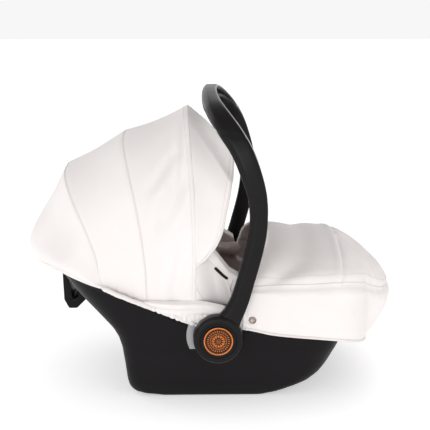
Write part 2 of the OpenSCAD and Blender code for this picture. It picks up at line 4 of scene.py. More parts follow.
import bpy
import numpy as np
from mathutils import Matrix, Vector

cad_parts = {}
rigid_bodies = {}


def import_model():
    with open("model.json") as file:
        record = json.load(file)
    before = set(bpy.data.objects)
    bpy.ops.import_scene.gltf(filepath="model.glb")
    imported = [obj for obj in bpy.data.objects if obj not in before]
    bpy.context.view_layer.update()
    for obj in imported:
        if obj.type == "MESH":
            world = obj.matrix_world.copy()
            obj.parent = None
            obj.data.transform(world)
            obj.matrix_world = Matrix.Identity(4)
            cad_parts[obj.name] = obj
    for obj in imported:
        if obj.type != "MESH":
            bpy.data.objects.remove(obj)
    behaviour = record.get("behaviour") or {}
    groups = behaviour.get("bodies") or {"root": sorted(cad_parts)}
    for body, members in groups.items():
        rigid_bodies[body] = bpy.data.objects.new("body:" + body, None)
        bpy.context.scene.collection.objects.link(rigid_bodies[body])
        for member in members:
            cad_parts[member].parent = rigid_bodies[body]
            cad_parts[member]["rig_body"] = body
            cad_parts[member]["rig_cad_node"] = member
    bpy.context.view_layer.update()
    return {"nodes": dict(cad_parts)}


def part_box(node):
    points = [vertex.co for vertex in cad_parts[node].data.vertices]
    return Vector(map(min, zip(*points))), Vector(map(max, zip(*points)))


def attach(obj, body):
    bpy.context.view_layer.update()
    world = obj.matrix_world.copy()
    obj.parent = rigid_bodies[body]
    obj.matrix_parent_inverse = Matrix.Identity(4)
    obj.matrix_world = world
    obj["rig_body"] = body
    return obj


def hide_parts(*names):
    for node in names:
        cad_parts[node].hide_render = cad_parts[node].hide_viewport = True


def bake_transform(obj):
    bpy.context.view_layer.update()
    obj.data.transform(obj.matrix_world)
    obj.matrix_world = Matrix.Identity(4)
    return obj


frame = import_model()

MM = 0.001
SIDES = (-1, 1)

# ---------------------------------------------------------------- places from the frame
HANDLE_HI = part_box("carry_handle")[1]
BUTTON_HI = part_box("release_button_right")[1]
MUFF_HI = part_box("foot_muff")[1]
HOOD_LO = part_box("canopy_hood")[0]
SNAP_LO, SNAP_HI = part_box("snap_caps")
PIVOT = (0.0, 139.0)                    # handle pivot in the side view, mm
FOLD = (-56.0, 170.0)                   # canopy pivot in the side view, mm
HUB_OUT = HANDLE_HI[1] / MM             # outer face of the hub discs
HUB_R = 46                              # radius of the hub discs
BUTTON_R = 27                           # radius of the release buttons
CLOTH = 1.6                             # thickness of the faux leather
RIM_HALF = 184.0
TOP_Z = HANDLE_HI[2] / MM
MUFF_HALF = MUFF_HI[1] / MM
REACH = HOOD_LO[0] / MM                 # rearmost point of the hood
MUFF_TOP = 287                          # height of the muff's top
SPINE_REAR, SPINE_FRONT = 104, 238      # the ends of the line that the muff's top meets on
MUFF_REAR = 47                          # where the muff's rear edge stands on the shell
MUFF_FRONT = 356.5                      # the furthest the muff reaches forwards


# ---------------------------------------------------------------- small maths
def arr(points):
    return np.array(points, float)


def resample(points, count):
    """The same line with count points at equal distances."""
    points = arr(points)
    step = np.linalg.norm(np.diff(points, axis=0), axis=1)
    run = np.concatenate([[0], np.cumsum(step)])
    at = np.linspace(0, run[-1], count)
    return np.stack([np.interp(at, run, points[:, k]) for k in range(points.shape[1])], 1)


def curve(points, count, closed=False):
    """A smooth line through the points (Catmull-Rom), resampled evenly."""
    p = arr(points)
    if closed:
        p = np.vstack([p[-1], p, p[0], p[1]])
    else:
        p = np.vstack([2 * p[0] - p[1], p, 2 * p[-1] - p[-2]])
    out = []
    for i in range(1, len(p) - 2):
        for t in np.linspace(0, 1, 24, endpoint=False):
            a, b, c, d = p[i - 1], p[i], p[i + 1], p[i + 2]
            out.append(0.5 * (2 * b + (c - a) * t + (2 * a - 5 * b + 4 * c - d) * t**2
                              + (3 * b - a - 3 * c + d) * t**3))
    out.append(p[-2])
    return resample(out, count)


def smooth(x, a=0.0, b=1.0):
    t = np.clip((x - a) / (b - a), 0, 1)
    return t * t * (3 - 2 * t)


def bump(x, width):
    return np.exp(-(x / width) ** 2)


def waves(p, scale, seed, count=7):
    """Soft random waves over points in mm, about -1 to 1, with a typical length of scale."""
    r = np.random.default_rng(seed)
    total = np.zeros(p.shape[:-1])
    for _ in range(count):
        d = r.normal(size=3)
        d /= np.linalg.norm(d)
        total += np.sin((p @ d) * 2 * math.pi / (scale * r.uniform(0.7, 1.6)) + r.uniform(0, 6.28))
    return total / math.sqrt(count) * 0.7


def superellipse(half, n, count):
    """Points (y, h) of an arch from -half over h = 1 to +half, evenly spaced when it is about as high as wide."""
    a = np.linspace(math.pi, 0, 1601)
    c, s = np.cos(a), np.sin(a)
    y = half * np.sign(c) * np.abs(c) ** (2 / n)
    h = np.abs(s) ** (2 / n)
    return resample(np.stack([y, h * half * 1.7], 1), count) / [1, half * 1.7]


# ---------------------------------------------------------------- making meshes
def pick_nothing():
    bpy.ops.object.select_all(action="DESELECT")


def take(piece):
    pick_nothing()
    bpy.context.view_layer.objects.active = piece
    piece.select_set(True)
    return piece


def mesh_piece(name, points, faces):
    """A new piece from points in mm."""
    mesh = bpy.data.meshes.new(name)
    mesh.from_pydata([tuple(p) for p in arr(points) * MM], [], faces)
    mesh.validate()
    piece = bpy.data.objects.new(name, mesh)
    bpy.context.scene.collection.objects.link(piece)
    for polygon in mesh.polygons:
        polygon.use_smooth = True
    return piece


def sheet_piece(name, grid, closed=False, ends=False, outward=None):
    """A piece from a grid of points [rows, columns, 3] in mm.

    closed joins the last column to the first, ends caps the first and last rows."""
    rows, cols = grid.shape[:2]
    points = grid.reshape(-1, 3)
    faces = []
    for i in range(rows - 1):
        for j in range(cols - (0 if closed else 1)):
            k = (j + 1) % cols
            faces.append((i * cols + j, i * cols + k, (i + 1) * cols + k, (i + 1) * cols + j))
    if ends:
        faces.append(tuple(range(cols - 1, -1, -1)))
        faces.append(tuple((rows - 1) * cols + j for j in range(cols)))
    piece = mesh_piece(name, points, faces)
    uv = piece.data.uv_layers.new(name="cloth")
    along = np.zeros((rows, cols))
    across = np.zeros((rows, cols))
    along[1:] = np.cumsum(np.linalg.norm(np.diff(grid, axis=0), axis=2), axis=0)
    across[:, 1:] = np.cumsum(np.linalg.norm(np.diff(grid, axis=1), axis=2), axis=1)
    flat = np.stack([across.reshape(-1), along.reshape(-1)], 1) * MM
    index = np.zeros(len(piece.data.loops), int)
    piece.data.loops.foreach_get("vertex_index", index)
    uv.data.foreach_set("uv", flat[index].reshape(-1))
    if outward is not None:
        face_out(piece, outward)
    return piece


def face_out(piece, outward):
    """Turns the faces so that on average they point away from a place, in mm."""
    mesh = piece.data
    centre = Vector(outward) * MM
    total = sum((p.center - centre).dot(p.normal) * p.area for p in mesh.polygons)
    if total < 0:
        mesh.flip_normals()


def normals(grid):
    """Outward normals of a grid of points, from its two directions."""
    du = np.gradient(grid, axis=0)
    dv = np.gradient(grid, axis=1)
    n = np.cross(du, dv)
    return n / np.maximum(np.linalg.norm(n, axis=2, keepdims=True), 1e-9)


def use(piece, kind, name="finish", **settings):
    """Adds a modifier with its settings and applies it."""
    take(piece)
    modifier = piece.modifiers.new(name, kind)
    for key, value in settings.items():
        setattr(modifier, key, value)
    bpy.ops.object.modifier_apply(modifier=modifier.name)
    return piece


def wall(piece, thickness, offset=-1.0, lining=False):
    """Gives a sheet its thickness in mm. lining gives the inner face the piece's second material."""
    return use(piece, "SOLIDIFY", thickness=thickness * MM, offset=offset, use_even_offset=False,
               material_offset=1 if lining else 0, material_offset_rim=0)


def tube(name, path, radius, sides=10, squash=1.0, up=(0, 0, 1), closed=False, taper=0):
    """A round or flattened cord-like strip along a path in mm. radius may vary along it."""
    path = arr(path)
    count = len(path)
    tangent = np.gradient(path, axis=0)
    if closed:
        tangent = np.roll(path, -1, axis=0) - np.roll(path, 1, axis=0)
    tangent /= np.linalg.norm(tangent, axis=1, keepdims=True)
    up = np.broadcast_to(arr(up), path.shape)
    side = np.cross(tangent, up)
    side /= np.maximum(np.linalg.norm(side, axis=1, keepdims=True), 1e-9)
    up = np.cross(side, tangent)
    radius = np.broadcast_to(np.asarray(radius, float), (count,)).copy()
    if taper:
        ease = np.clip(np.minimum(np.arange(count), np.arange(count)[::-1]) / taper, 0.02, 1)
        radius *= np.sqrt(1 - (1 - ease) ** 2)
    a = np.linspace(0, 2 * math.pi, sides, endpoint=False)
    ring = (side[:, None] * np.cos(a)[None, :, None] + up[:, None] * np.sin(a)[None, :, None] * squash)
    grid = path[:, None] + ring * radius[:, None, None]
    if closed:
        grid = np.concatenate([grid, grid[:1]])
    piece = sheet_piece(name, grid, closed=True, ends=not closed)
    take(piece)
    bpy.ops.object.mode_set(mode="EDIT")
    bpy.ops.mesh.select_all(action="SELECT")
    bpy.ops.mesh.remove_doubles(threshold=1e-6)
    bpy.ops.mesh.normals_make_consistent(inside=False)
    bpy.ops.object.mode_set(mode="OBJECT")
    return piece


def join(name, pieces):
    """Several pieces made one."""
    take(pieces[0])
    for other in pieces:
        other.select_set(True)
    bpy.ops.object.join()
    pieces[0].name = name
    pieces[0].data.name = name
    return pieces[0]


def stitches(name, path, out, pitch=3.4, length=2.3, radius=0.32, lift=0.15):
    """A row of thread stitches along a path on cloth; out holds the cloth's outward directions."""
    path, out = arr(path), arr(out)
    run = np.concatenate([[0], np.cumsum(np.linalg.norm(np.diff(path, axis=0), axis=1))])
    points, faces = [], []
    for start in np.arange(pitch, run[-1] - pitch, pitch):
        ends = [arr([np.interp(start + k, run, path[:, c]) for c in range(3)]) for k in (0, length)]
        up = arr([np.interp(start, run, out[:, c]) for c in range(3)])
        up /= np.linalg.norm(up)
        t = ends[1] - ends[0]
        t /= max(np.linalg.norm(t), 1e-9)
        side = np.cross(t, up)
        base = len(points)
        for k, (frac, size) in enumerate(((0, 0.35), (0.3, 1), (0.7, 1), (1, 0.35))):
            c = ends[0] + (ends[1] - ends[0]) * frac + up * (lift + (0.25 if k in (1, 2) else -0.25))
            for a in range(5):
                ang = a * 2 * math.pi / 5
                points.append(c + (side * math.cos(ang) + up * math.sin(ang)) * radius * size)
        for k in range(3):
            for a in range(5):
                b = (a + 1) % 5
                faces.append((base + k * 5 + a, base + k * 5 + b, base + (k + 1) * 5 + b, base + (k + 1) * 5 + a))
        faces.append(tuple(base + a for a in range(4, -1, -1)))
        faces.append(tuple(base + 15 + a for a in range(5)))
    piece = mesh_piece(name, points, faces)
    take(piece)
    bpy.ops.object.mode_set(mode="EDIT")
    bpy.ops.mesh.select_all(action="SELECT")
    bpy.ops.mesh.normals_make_consistent(inside=False)
    bpy.ops.object.mode_set(mode="OBJECT")
    return piece


def node_copy(name, *nodes, hide=True):
    """A merged copy of CAD nodes as one new piece."""
    copies = []
    for n in nodes:
        source = frame["nodes"][n]
        copy = bpy.data.objects.new(name, source.data.copy())
        copy.data.materials.clear()
        bpy.context.scene.collection.objects.link(copy)
        copies.append(copy)
    piece = join(name, copies) if len(copies) > 1 else copies[0]
    take(piece)
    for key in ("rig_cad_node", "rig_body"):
        if key in piece:
            del piece[key]
    bpy.ops.object.mode_set(mode="EDIT")
    bpy.ops.mesh.select_all(action="SELECT")
    bpy.ops.mesh.remove_doubles(threshold=1e-5)
    bpy.ops.mesh.dissolve_limited(angle_limit=math.radians(0.5))
    bpy.ops.object.mode_set(mode="OBJECT")
    if hide:
        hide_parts(*nodes)
    return piece


def eased(name, *nodes, width=0.8, segments=2):
    """A copy of hard CAD nodes with the moulded edge radius in mm on every sharp edge."""
    piece = node_copy(name, *nodes)
    use(piece, "BEVEL", width=width * MM, segments=segments, limit_method="ANGLE",
        angle_limit=math.radians(35), use_clamp_overlap=True, harden_normals=False)
    take(piece)
    bpy.ops.object.shade_smooth_by_angle(angle=math.radians(40))
    return piece


def plump(name, *nodes, voxel=5.0, inset=2.0, pressure=4.0, cap=9.0, detail=1):
    """A cushion from CAD pads: remeshed, swollen as filled cloth, then made finer."""
    piece = node_copy(name, *nodes)
    if inset:
        use(piece, "REMESH", mode="VOXEL", voxel_size=voxel * MM * 0.6, use_smooth_shade=True)
        use(piece, "DISPLACE", strength=-inset * MM, mid_level=0.0)
    use(piece, "REMESH", mode="VOXEL", voxel_size=voxel * MM, use_smooth_shade=True)
    use(piece, "SMOOTH", factor=0.5, iterations=6)
    rest = np.array([v.co for v in piece.data.vertices], float)
    take(piece)
    cloth = piece.modifiers.new("filling", "CLOTH")
    cloth.settings.use_pressure = True
    cloth.settings.uniform_pressure_force = pressure
    cloth.settings.effector_weights.gravity = 0.0
    cloth.settings.quality = 5
    cloth.settings.tension_stiffness = 12
    cloth.settings.compression_stiffness = 12
    cloth.settings.bending_stiffness = 0.6
    cloth.point_cache.frame_start = 1
    cloth.point_cache.frame_end = 20
    for step in range(1, 21):
        bpy.context.scene.frame_set(step)
    bpy.ops.object.modifier_apply(modifier=cloth.name)
    bpy.context.scene.frame_set(1)
    now = np.array([v.co for v in piece.data.vertices], float)
    move = now - rest
    size = np.linalg.norm(move, axis=1, keepdims=True)
    limit = cap * MM
    now = rest + move * np.minimum(1, limit / np.maximum(size, 1e-9))
    piece.data.vertices.foreach_set("co", now.reshape(-1))
    if detail:
        use(piece, "SUBSURF", levels=detail, render_levels=detail)
    for polygon in piece.data.polygons:
        polygon.use_smooth = True
    return piece


def disc(name, centre, radius, y0, y1, side, profile=None, segments=96):
    """A turned disc across the seat. profile is (share of radius, mm in from the outer face), from the middle."""
    rows = profile or [(0, 0), (0.94, 0), (1, 1.2), (1, abs(y1 - y0))]
    a = np.linspace(0, 2 * math.pi, segments, endpoint=False)
    grid = []
    for share, depth in rows:
        r = max(share * radius, 0.01)
        y = side * (abs(y1) - depth)
        grid.append(np.stack([centre[0] + r * np.cos(a), np.full_like(a, y), centre[1] + r * np.sin(a)], 1))
    piece = sheet_piece(name, arr(grid), closed=True, ends=True)
    take(piece)
    bpy.ops.object.mode_set(mode="EDIT")
    bpy.ops.mesh.select_all(action="SELECT")
    bpy.ops.mesh.remove_doubles(threshold=2e-5)
    bpy.ops.mesh.normals_make_consistent(inside=False)
    bpy.ops.object.mode_set(mode="OBJECT")
    bpy.ops.object.shade_smooth_by_angle(angle=math.radians(38))
    return piece


# ---------------------------------------------------------------- materials
def colour(hex_text):
    """An sRGB hex colour as linear RGBA."""
    parts = [int(hex_text[i:i + 2], 16) / 255 for i in (1, 3, 5)]
    return [c / 12.92 if c <= 0.04045 else ((c + 0.055) / 1.055) ** 2.4 for c in parts] + [1.0]


def node(material, kind, inputs=None, links=None, **settings):
    """Adds a shader node with its settings, fixed inputs and links from (node, output)."""
    n = material.node_tree.nodes.new(kind)
    for key, value in settings.items():
        setattr(n, key, value)
    for key, value in (inputs or {}).items():
        n.inputs[key].default_value = value
    for key, (source, output) in (links or {}).items():
        material.node_tree.links.new(source.outputs[output], n.inputs[key])
    return n


def new_material(name):
    m = bpy.data.materials.new(name)
    m.use_nodes = True
    m.node_tree.nodes.clear()
    place = node(m, "ShaderNodeTexCoord")
    return m, place


def finish_material(m, shader):
    node(m, "ShaderNodeOutputMaterial", links={"Surface": (shader, "BSDF")})
    return m


def ramp(m, source, output, stops, interpolation="LINEAR"):
    r = node(m, "ShaderNodeValToRGB", links={"Fac": (source, output)})
    r.color_ramp.interpolation = interpolation
    while len(r.color_ramp.elements) < len(stops):
        r.color_ramp.elements.new(0.5)
    for element, (at, c) in zip(r.color_ramp.elements, stops):
        element.position = at
        element.color = c
    return r


def moulded_plastic(name, base, lighter, roughness, grain_mm=0.9, grain=0.12, spread=0.08, level=0.5):
    """Injection-moulded plastic: fine spark-eroded grain, a little unevenness in the gloss and colour."""
    m, place = new_material(name)
    coarse = node(m, "ShaderNodeTexNoise", {"Scale": 9.0, "Detail": 4.0, "Roughness": 0.6},
                  {"Vector": (place, "Object")})
    tint = ramp(m, coarse, "Fac", [(0.3, colour(base)), (0.75, colour(lighter))])
    fine = node(m, "ShaderNodeTexNoise", {"Scale": 1000 / grain_mm, "Detail": 2.0},
                {"Vector": (place, "Object")})
    rough = node(m, "ShaderNodeMapRange",
                 {"From Min": 0.3, "From Max": 0.7, "To Min": roughness - spread, "To Max": roughness + spread},
                 {"Value": (coarse, "Fac")})
    height = node(m, "ShaderNodeBump", {"Strength": grain, "Distance": 0.0006}, {"Height": (fine, "Fac")})
    shader = node(m, "ShaderNodeBsdfPrincipled", {"IOR": 1.5, "Specular IOR Level": level},
                  {"Base Color": (tint, "Color"), "Roughness": (rough, "Result"), "Normal": (height, "Normal")})
    return finish_material(m, shader)


def coated_cloth(name, base, shade, roughness=0.5, grain_mm=1.3, grain=0.22, sheen=0.0, coat=0.0):
    """Polyurethane faux leather: pebbled grain, soft sheen from the coating, faint tone changes."""
    m, place = new_material(name)
    tone = node(m, "ShaderNodeTexNoise", {"Scale": 7.0, "Detail": 3.0, "Roughness": 0.55},
                {"Vector": (place, "Object")})
    tint = ramp(m, tone, "Fac", [(0.3, colour(shade)), (0.7, colour(base))])
    pebble = node(m, "ShaderNodeTexVoronoi", {"Scale": 1000 / grain_mm}, {"Vector": (place, "Object")},
                  feature="SMOOTH_F1")
    creases = node(m, "ShaderNodeTexNoise", {"Scale": 95.0, "Detail": 5.0, "Roughness": 0.62},
                   {"Vector": (place, "Object")})
    mixed = node(m, "ShaderNodeMath", {1: 0.8}, {0: (creases, "Fac")}, operation="MULTIPLY")
    total = node(m, "ShaderNodeMath", {}, {0: (mixed, "Value"), 1: (pebble, "Distance")}, operation="ADD")
    height = node(m, "ShaderNodeBump", {"Strength": grain, "Distance": 0.0009}, {"Height": (total, "Value")})
    rough = node(m, "ShaderNodeMapRange",
                 {"From Min": 0.25, "From Max": 0.75, "To Min": roughness - 0.07, "To Max": roughness + 0.07},
                 {"Value": (creases, "Fac")})
    shader = node(m, "ShaderNodeBsdfPrincipled",
                  {"IOR": 1.47, "Specular IOR Level": 0.4, "Sheen Weight": sheen, "Sheen Roughness": 0.5,
                   "Coat Weight": coat, "Coat Roughness": 0.35},
                  {"Base Color": (tint, "Color"), "Roughness": (rough, "Result"), "Normal": (height, "Normal")})
    return finish_material(m, shader)


def pile_cloth(name, base, shade, light):
    """Short-pile polyester velour: brushed patches, a bright grazing sheen, matt."""
    m, place = new_material(name)
    brushed = node(m, "ShaderNodeTexNoise", {"Scale": 28.0, "Detail": 6.0, "Roughness": 0.7, "Distortion": 0.6},
                   {"Vector": (place, "Object")})
    tint = ramp(m, brushed, "Fac", [(0.3, colour(shade)), (0.52, colour(base)), (0.78, colour(light))])
    pile = node(m, "ShaderNodeTexNoise", {"Scale": 1500.0, "Detail": 2.0}, {"Vector": (place, "Object")})
    both = node(m, "ShaderNodeMath", {}, {0: (pile, "Fac"), 1: (brushed, "Fac")}, operation="ADD")
    height = node(m, "ShaderNodeBump", {"Strength": 0.55, "Distance": 0.0009}, {"Height": (both, "Value")})
    shader = node(m, "ShaderNodeBsdfPrincipled",
                  {"Roughness": 0.95, "IOR": 1.45, "Specular IOR Level": 0.2, "Sheen Weight": 0.8,
                   "Sheen Roughness": 0.4, "Sheen Tint": colour("#c9b9b4")},
                  {"Base Color": (tint, "Color"), "Normal": (height, "Normal")})
    return finish_material(m, shader)


def woven_web(name, base, light, thread_mm=1.6):
    """Seat-belt webbing: twill threads about a millimetre and a half apart, low gloss."""
    m, place = new_material(name)
    ribs = node(m, "ShaderNodeTexWave", {"Scale": 1000 / thread_mm / 20, "Distortion": 0.4, "Detail": 1.0},
                {"Vector": (place, "Object")}, bands_direction="DIAGONAL")
    threads = node(m, "ShaderNodeTexNoise", {"Scale": 700.0, "Detail": 2.0}, {"Vector": (place, "Object")})
    tint = ramp(m, ribs, "Fac", [(0.2, colour(base)), (0.8, colour(light))])
    both = node(m, "ShaderNodeMath", {}, {0: (ribs, "Fac"), 1: (threads, "Fac")}, operation="ADD")
    height = node(m, "ShaderNodeBump", {"Strength": 0.5, "Distance": 0.0008}, {"Height": (both, "Value")})
    shader = node(m, "ShaderNodeBsdfPrincipled",
                  {"Roughness": 0.62, "IOR": 1.5, "Sheen Weight": 0.15},
                  {"Base Color": (tint, "Color"), "Normal": (height, "Normal")})
    return finish_material(m, shader)


def brushed_metal(name, base, dark, roughness, scratch=0.25):
    """Plated or brushed metal with fine handling marks."""
    m, place = new_material(name)
    marks = node(m, "ShaderNodeTexNoise", {"Scale": 260.0, "Detail": 5.0, "Roughness": 0.65},
                 {"Vector": (place, "Object")})
    tint = ramp(m, marks, "Fac", [(0.3, colour(dark)), (0.6, colour(base))])
    rough = node(m, "ShaderNodeMapRange",
                 {"From Min": 0.3, "From Max": 0.7, "To Min": roughness - 0.07, "To Max": roughness + 0.1},
                 {"Value": (marks, "Fac")})
    height = node(m, "ShaderNodeBump", {"Strength": scratch, "Distance": 0.0003}, {"Height": (marks, "Fac")})
    shader = node(m, "ShaderNodeBsdfPrincipled", {"Metallic": 1.0},
                  {"Base Color": (tint, "Color"), "Roughness": (rough, "Result"), "Normal": (height, "Normal")})
    return finish_material(m, shader)


# Polypropylene shell with a fine satin grain: near black, slightly warm
SHELL = moulded_plastic("shell polypropylene", "#0e0b0e", "#131013", 0.47, level=0.14)
# Glass-filled nylon handle: a little smoother, soft highlights along the arms
HANDLE = moulded_plastic("handle nylon", "#0c090c", "#120f12", 0.34, spread=0.05, level=0.19)
# Rubber-like grip: matt, coarser texture
GRIP = moulded_plastic("grip elastomer", "#09080a", "#0f0e11", 0.7, grain_mm=1.6, grain=0.35, level=0.14)
# Grey ABS trim by the hubs; the same light grey also paints the highlight bead along the handle's grip edge
TRIM_AND_PAINTED_HIGHLIGHT = moulded_plastic("trim abs and painted highlight", "#9d9da0", "#a9a9ab", 0.4)
# Black underside and inner mouldings
INNER = moulded_plastic("inner polypropylene", "#121113", "#19181a", 0.55, level=0.18)
# Glossier buckle plastic
BUCKLE = moulded_plastic("buckle acetal", "#1c1b1e", "#262528", 0.32)
# Red release button
RED = moulded_plastic("release acetal", "#a51f26", "#b62b30", 0.35)
# White faux leather: ivory, soft sheen, pebbled
LEATHER = coated_cloth("faux leather", "#f5f0ee", "#f0eae8")
# The seam tape and hems of the same leather, pressed a little smoother; their slightly darker tone is painted shade
# along the seams
HEM_WITH_PAINTED_SHADE = coated_cloth("faux leather hem with painted shade", "#efeae8", "#e6dfdc", roughness=0.46, grain=0.12)
# Mauve-grey velour of the inner faces
VELOUR = pile_cloth("velour", "#bfb3ae", "#a5978f", "#d6cdc9")
# Ivory thread
THREAD = coated_cloth("polyester thread", "#dcd6d3", "#cfc8c5", roughness=0.6, grain_mm=0.5)
# Black harness webbing
WEB = woven_web("harness webbing", "#1f1e20", "#333235")
# Expanded polystyrene or polypropylene foam liner
FOAM = moulded_plastic("bead foam", "#d9d8d6", "#e9e8e6", 0.8, grain_mm=3.5, grain=0.5, level=0.25)
# Zinc-plated steel of the pins, bars, screws and springs
STEEL = brushed_metal("zinc steel", "#b9bbbd", "#8e9093", 0.36)
# Nickel snap fastener, a little warm
SNAP = brushed_metal("nickel snap", "#c8bfb4", "#9c9288", 0.3)
# Copper-coloured plating of the badge
COPPER = brushed_metal("copper plate", "#e08a4c", "#c86f34", 0.38, scratch=0.15)


def clothe(piece, body, slot, *materials):
    """Gives a piece its materials and body. slot is not used."""
    piece.data.materials.clear()
    for m in materials:
        piece.data.materials.append(m)
    if body:
        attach(piece, body)
    return piece


def keep(material, *nodes):
    """A CAD node whose shape is right gets a better material."""
    for n in nodes:
        o = frame["nodes"][n]
        if not o.material_slots:
            o.data.materials.append(material)
        for s in o.material_slots:
            s.material = material


# ---------------------------------------------------------------- the shell
def rim_height(x):
    return np.interp(x, [-320, -296, -261, -215, -172, -128, -84, -45, -34, 0, 47, 101, 165, 230, 240],
                     [274, 270, 252, 231, 211, 194, 176, 160, 160, 156, 153, 143, 135, 131, 126])


UNDER_HEAD = arr([(-317, 276), (-312, 262), (-299, 240), (-275, 211), (-250, 185), (-222, 160), (-202, 142),
                  (-189, 125), (-182, 104), (-177, 68), (-174, 34), (-171, 20), (-166, 11), (-156, 5),
                  (-138, 1.5), (-116, 0)])
UNDER_FOOT = arr([(246, 130), (242, 117), (230, 95), (215, 70), (198, 45), (180, 29), (163, 20), (138, 9),
                  (124, 4), (108, 0)])
SHELL_HALF = arr([(0, 145), (4, 148), (9, 150), (14, 152), (24, 156), (60, 167), (100, 178.5),
                  (130, 183), (400, RIM_HALF)])
HEAD_CORNER = arr([(0, 24), (60, 26), (120, 42), (180, 90), (262, 128)])
FOOT_CORNER = arr([(0, 38), (60, 48), (130, 84)])


def rounded_rectangle(head, foot, half, r_head, r_foot, count):
    """A plan outline (x, y), evenly spaced: from the middle of the head end round the left side to the foot end
    and back again."""
    def corner(cx, cy, r, a0, a1):
        a = np.linspace(a0, a1, 40)
        n = 2.35
        c, s = np.cos(a), np.sin(a)
        return np.stack([cx + r * np.sign(c) * np.abs(c) ** (2 / n),
                         cy + r * np.sign(s) * np.abs(s) ** (2 / n)], 1)
    left = np.vstack([
        [[head, 0]],
        corner(head + r_head, -half + r_head, r_head, math.pi, 1.5 * math.pi),
        corner(foot - r_foot, -half + r_foot, r_foot, 1.5 * math.pi, 2 * math.pi),
        [[foot, 0]]])
    left = resample(left, count // 2 + 1)
    right = left[::-1] * [1, -1]
    return np.vstack([left, right[1:-1]])


def level_outline(z, inset, count):
    """The shell's plan outline at one height."""
    return rounded_rectangle(
        np.interp(-z, -UNDER_HEAD[:, 1], UNDER_HEAD[:, 0]) + inset,
        np.interp(-z, -UNDER_FOOT[:, 1], UNDER_FOOT[:, 0]) - inset,
        np.interp(z, SHELL_HALF[:, 0], SHELL_HALF[:, 1]) - inset,
        np.interp(z, HEAD_CORNER[:, 0], HEAD_CORNER[:, 1]) - inset,
        np.interp(z, FOOT_CORNER[:, 0], FOOT_CORNER[:, 1]) - inset, count)


SHELL_LEVELS = np.linspace(0.4, 276, 60)


def shell_grid(rows=52, count=260):
    """The shell's side wall from the ground to the rim as a closed grid."""
    stack = arr([level_outline(z, 0, count) for z in SHELL_LEVELS])
    grid = np.zeros((rows, count, 3))
    at = np.arange(count)
    for i, v in enumerate(np.linspace(0, 1, rows)):
        z = np.full(count, 0.4 + v * 160.0)
        for _ in range(16):
            f = np.clip((z - SHELL_LEVELS[0]) / (SHELL_LEVELS[1] - SHELL_LEVELS[0]), 0, len(SHELL_LEVELS) - 1.001)
            low = f.astype(int)
            part = (f - low)[:, None]
            xy = stack[low, at] * (1 - part) + stack[low + 1, at] * part
            z = 0.4 + v * (rim_height(xy[:, 0]) - 0.4)
        grid[i, :, :2] = xy
        grid[i, :, 2] = z
    return grid


def plan_normals(row):
    """Outward directions in plan of a closed row of points."""
    t = np.roll(row, -1, axis=0) - np.roll(row, 1, axis=0)
    n = np.stack([t[:, 1], -t[:, 0], np.zeros(len(row))], 1)
    n /= np.linalg.norm(n, axis=1, keepdims=True)
    return -n if (n * (row - row.mean(0)))[:, :2].sum() < 0 else n


def within_shell(piece, gap):
    """Draws a piece's points in where they would come through the shell wall."""
    co = np.array([v.co for v in piece.data.vertices], float) / MM
    table = []
    angles = np.linspace(-math.pi, math.pi, 361)
    centre = []
    for z in SHELL_LEVELS:
        outline = level_outline(z, gap, 400)
        cx = (outline[:, 0].min() + outline[:, 0].max()) / 2
        a = np.arctan2(outline[:, 1], outline[:, 0] - cx)
        order = np.argsort(a)
        radius = np.hypot(outline[:, 1], outline[:, 0] - cx)
        table.append(np.interp(angles, a[order], radius[order], period=2 * math.pi))
        centre.append(cx)
    table, centre = arr(table), arr(centre)
    f = np.clip((co[:, 2] - SHELL_LEVELS[0]) / (SHELL_LEVELS[1] - SHELL_LEVELS[0]), 0, len(SHELL_LEVELS) - 1.001)
    low = f.astype(int)
    part = f - low
    cx = centre[low] * (1 - part) + centre[low + 1] * part
    a = np.arctan2(co[:, 1], co[:, 0] - cx)
    g = (a + math.pi) / (2 * math.pi) * 360
    k = np.clip(g.astype(int), 0, 359)
    reach = (table[low, k] * (1 - part) + table[low + 1, k] * part) * (1 - (g - k)) + \
        (table[low, k + 1] * (1 - part) + table[low + 1, k + 1] * part) * (g - k)
    r = np.hypot(co[:, 1], co[:, 0] - cx)
    scale = np.minimum(1, reach / np.maximum(r, 1e-6))
    co[:, 0] = cx + (co[:, 0] - cx) * scale
    co[:, 1] *= scale
    piece.data.vertices.foreach_set("co", (co * MM).reshape(-1))


def tidy_normals(piece, merge=0.0):
    take(piece)
    bpy.ops.object.mode_set(mode="EDIT")
    bpy.ops.mesh.select_all(action="SELECT")
    if merge:
        bpy.ops.mesh.remove_doubles(threshold=merge)
    bpy.ops.mesh.normals_make_consistent(inside=False)
    bpy.ops.object.mode_set(mode="OBJECT")
    return piece


